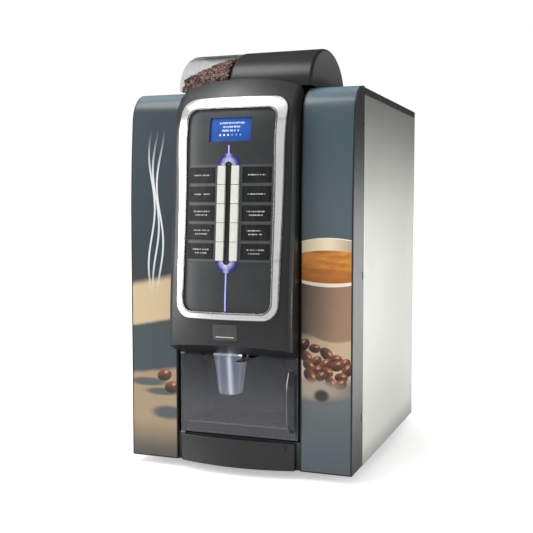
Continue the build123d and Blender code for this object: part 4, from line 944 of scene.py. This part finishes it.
# the cup's section as (radius, height above its foot), in millimetres
CUP_OUTLINE = (
    (22.0, 0.0), (23.0, 0.6), (23.6, 4.0), (24.4, 5.0), (30.6, 58.0), (31.6, 58.8), (31.8, 63.0),
    (32.6, 64.0), (32.8, 74.0), (34.6, 75.0), (34.9, 76.6), (34.0, 77.8), (32.6, 77.4), (32.0, 74.0),
    (31.8, 64.4), (30.9, 63.4), (30.7, 59.4), (29.8, 58.4), (23.7, 5.6), (22.6, 3.2), (0.01, 3.0),
    (0.01, 1.4), (21.0, 1.4),
)


def fluted(radius, height, angle):
    """Fine upright ribs on the tapered wall of the cup."""
    share = (height - CUP_FOOT_Z) / CUP_HEIGHT
    if RIBS_FROM < share < RIBS_TO and radius > RIBS_OUTSIDE:
        return radius + RIB_DEEP * math.cos(RIBS * angle)
    return radius


LOOKS["cup_plastic"] = see_through(
    "cup_plastic", shade(228, 231, 240), shade(222, 226, 238), 0.45, shade(150, 154, 166), 0.22,
    paint=cup_shade,
)
cup_profile = [(r * MM, CUP_FOOT_Z + h * MM) for r, h in CUP_OUTLINE]
cup_vertices, cup_faces = turned(cup_profile, CUP_CENTRE, CUP_STEPS, fluted)
make_piece("vending_cup", cup_vertices, cup_faces, "door", "cup_plastic")


# ---- Blank badge plate under the control panel ----
BADGE_HALF = 23.5 * MM
BADGE_LOW = 265 * MM
BADGE_HIGH = 293 * MM
BADGE_CORNER = 3 * MM
BADGE_PROUD = 0.8 * MM
BADGE_SUNK = 0.3 * MM
BADGE_ROWS = 24
BADGE_COLUMNS = 32
CAST_FROM = -1.0


def front_of(node_name, x, z):
    """Where the front surface of a CAD node stands, straight ahead of a place."""
    hit, place, _, _ = nodes[node_name].ray_cast(Vector((x, CAST_FROM, z)), Vector((0, 1, 0)))
    if not hit:
        raise ValueError(f"{node_name} has no front at {x}, {z}")
    return place.y


def rounded_rows(half, low, high, corner, rows, columns):
    """Rows of (x, z) that fill a rounded rectangle."""
    for row in range(rows + 1):
        z = low + (high - low) * row / rows
        gap = max(0.0, corner - min(z - low, high - z))
        reach = half - (corner - math.sqrt(max(0.0, corner**2 - gap**2)))
        yield [(reach * (2 * column / columns - 1), z) for column in range(columns + 1)]


def badge_plate(node_name):
    """A thin rounded plate that follows the front surface of a CAD node."""
    rows, columns = BADGE_ROWS, BADGE_COLUMNS
    front, back, faces = [], [], []
    for line in rounded_rows(BADGE_HALF, BADGE_LOW, BADGE_HIGH, BADGE_CORNER, rows, columns):
        for x, z in line:
            y = front_of(node_name, x, z)
            front.append((x, y - BADGE_PROUD, z))
            back.append((x, y + BADGE_SUNK, z))
    count = (rows + 1) * (columns + 1)
    for row in range(rows):
        for column in range(columns):
            a = row * (columns + 1) + column
            b = a + columns + 1
            faces.append((a, a + 1, b + 1, b))
            faces.append((count + a, count + b, count + b + 1, count + a + 1))
    ring = list(range(columns + 1))
    ring += [row * (columns + 1) + columns for row in range(1, rows + 1)]
    ring += [rows * (columns + 1) + column for column in range(columns - 1, -1, -1)]
    ring += [row * (columns + 1) for row in range(rows - 1, 0, -1)]
    for first, second in zip(ring, ring[1:] + ring[:1]):
        faces.append((second, first, count + first, count + second))
    make_piece("badge_plate", front + back, faces, "door", "badge", smooth=False)


# the badge's pale outline and underline, in millimetres
BADGE_MIDDLE = 279
BADGE_SIDE_LINE = (22.2, 22.6)
BADGE_END_LINE = (12.8, 13.2)
BADGE_BAR = 270.5
BADGE_BAR_HALF = 18


def badge_print():
    """A plain dark plate with a pale underline and no wording."""
    s = Shader("badge")
    side = s.across.absolute().rise(*BADGE_SIDE_LINE)
    end = (s.up - BADGE_MIDDLE).absolute().rise(*BADGE_END_LINE)
    edge = (side + end).math("MINIMUM", 1.0)
    base = s.mix(shade(58, 60, 60), shade(66, 68, 68), s.noise(0.01, 3.0).rise(0.3, 0.7))
    base = s.mix(base, shade(96, 98, 98), edge * 0.6)
    bar = (s.up - BADGE_BAR).within(0.7, 0.4) * s.across.within(BADGE_BAR_HALF, 0.5)
    base = s.mix(base, shade(220, 221, 222), bar)
    normal = s.bumped(s.noise(0.0008), 0.00002)
    return s.done(s.principled(base, s.noise(0.01) * 0.15 + 0.3, normal))


LOOKS["badge"] = badge_print()
badge_plate("fascia")

# ---- Studio: floor, light and camera ----
FLOOR_HALF = 60.0
FLOOR_GLOW = 0.42
FLOOR_MIRRORED = 0.12
FLOOR_NEAR = 0.2
FLOOR_FAR = 0.55
CAMERA_PLACE = (0.6399, -1.8168, 0.5101)
CAMERA_YAW = 20.33
CAMERA_PITCH = 3.83
CAMERA_LENS = 60.69
SENSOR = 36.0
CLIP = (0.05, 50)
BRIGHT_SIDE = (-0.55, -0.75, 0.35)
BRIGHT_RANGE = (-0.5, 0.8)
WORLD_STRENGTH = (0.07, 0.85)
# name, place, what it is aimed at, size, power in watts
SOFTBOXES = (
    ("key", (-1.9, -1.5, 0.9), (0, -0.1, 0.4), (0.8, 1.7), 30),
    ("top", (-0.7, -0.7, 2.3), (0, -0.2, 0.75), (1.1, 0.8), 18),
    ("right", (2.4, -1.0, 1.0), (0.1, -0.2, 0.5), (0.5, 1.4), 7),
    ("side", (2.4, 1.2, 0.25), (0.2, 0.1, 0.2), (2.6, 0.45), 34),
)


def make_floor():
    """A pale floor that fades into the white around it."""
    mesh = bpy.data.meshes.new("floor")
    corners = [(x * FLOOR_HALF, y * FLOOR_HALF, 0.0) for x, y in ((-1, -1), (1, -1), (1, 1), (-1, 1))]
    mesh.from_pydata(corners, [], [(0, 1, 2, 3)])
    floor = added("floor", mesh)
    s = Shader("floor")
    grain = s.noise(0.2, 3.0).rise(0.3, 0.7)
    colour = s.mix((0.93, 0.93, 0.93, 1), (0.96, 0.96, 0.96, 1), grain)
    away = (s.x * s.x + s.y * s.y).math("SQRT").rise(FLOOR_NEAR, FLOOR_FAR)
    path = s.add("ShaderNodeLightPath")
    seen = Field(s, path.outputs["Is Camera Ray"]) * (away * (1 - FLOOR_GLOW) + FLOOR_GLOW)
    seen = seen + Field(s, path.outputs["Is Glossy Ray"]) * FLOOR_MIRRORED
    floor.data.materials.append(s.done(s.principled(
        colour, 0.45, Specular_IOR_Level=0.3, Emission_Color=(1, 1, 1, 1), Emission_Strength=seen
    )))


def make_world():
    """Plain white to the camera; for light and reflections, bright in front on the left, dim behind."""
    world = bpy.data.worlds.new("studio")
    bpy.context.scene.world = world
    world.use_nodes = True
    tree = world.node_tree
    tree.nodes.clear()
    coord = tree.nodes.new("ShaderNodeTexCoord")
    split = tree.nodes.new("ShaderNodeVectorMath")
    split.operation = "DOT_PRODUCT"
    split.inputs[1].default_value = Vector(BRIGHT_SIDE).normalized()
    tree.links.new(coord.outputs["Generated"], split.inputs[0])
    ramp = tree.nodes.new("ShaderNodeMapRange")
    ramp.interpolation_type = "SMOOTHSTEP"
    tree.links.new(split.outputs["Value"], ramp.inputs[0])
    for slot, value in enumerate((*BRIGHT_RANGE, *WORLD_STRENGTH), 1):
        ramp.inputs[slot].default_value = value
    path = tree.nodes.new("ShaderNodeLightPath")
    light = tree.nodes.new("ShaderNodeBackground")
    tree.links.new(ramp.outputs[0], light.inputs["Strength"])
    white = tree.nodes.new("ShaderNodeBackground")
    white.inputs["Strength"].default_value = 1.0
    white.inputs["Color"].default_value = (1, 1, 1, 1)
    choose = tree.nodes.new("ShaderNodeMixShader")
    tree.links.new(path.outputs["Is Camera Ray"], choose.inputs[0])
    tree.links.new(light.outputs[0], choose.inputs[1])
    tree.links.new(white.outputs[0], choose.inputs[2])
    output = tree.nodes.new("ShaderNodeOutputWorld")
    tree.links.new(choose.outputs[0], output.inputs["Surface"])


def softbox(name, place, target, size, power):
    """A soft rectangular lamp that faces its target."""
    light = bpy.data.lights.new(name, "AREA")
    light.shape = "RECTANGLE"
    light.size, light.size_y = size
    light.energy = power
    lamp = added(name, light)
    lamp.location = place
    lamp.rotation_mode = "QUATERNION"
    lamp.rotation_quaternion = (Vector(target) - Vector(place)).to_track_quat("-Z", "Y")


def make_camera():
    """The camera, level but for its pitch, at the angle of the reference view."""
    data = bpy.data.cameras.new("camera")
    data.lens = CAMERA_LENS
    data.sensor_width = SENSOR
    data.clip_start, data.clip_end = CLIP
    camera = added("camera", data)
    yaw, pitch = math.radians(CAMERA_YAW), math.radians(CAMERA_PITCH)
    ahead = Vector((-math.sin(yaw) * math.cos(pitch), math.cos(yaw) * math.cos(pitch), -math.sin(pitch)))
    camera.location = CAMERA_PLACE
    camera.rotation_mode = "QUATERNION"
    camera.rotation_quaternion = ahead.to_track_quat("-Z", "Y")
    bpy.context.scene.camera = camera


make_floor()
make_world()
for lamp_settings in SOFTBOXES:
    softbox(*lamp_settings)
make_camera()
bpy.context.scene.view_settings.view_transform = "Standard"
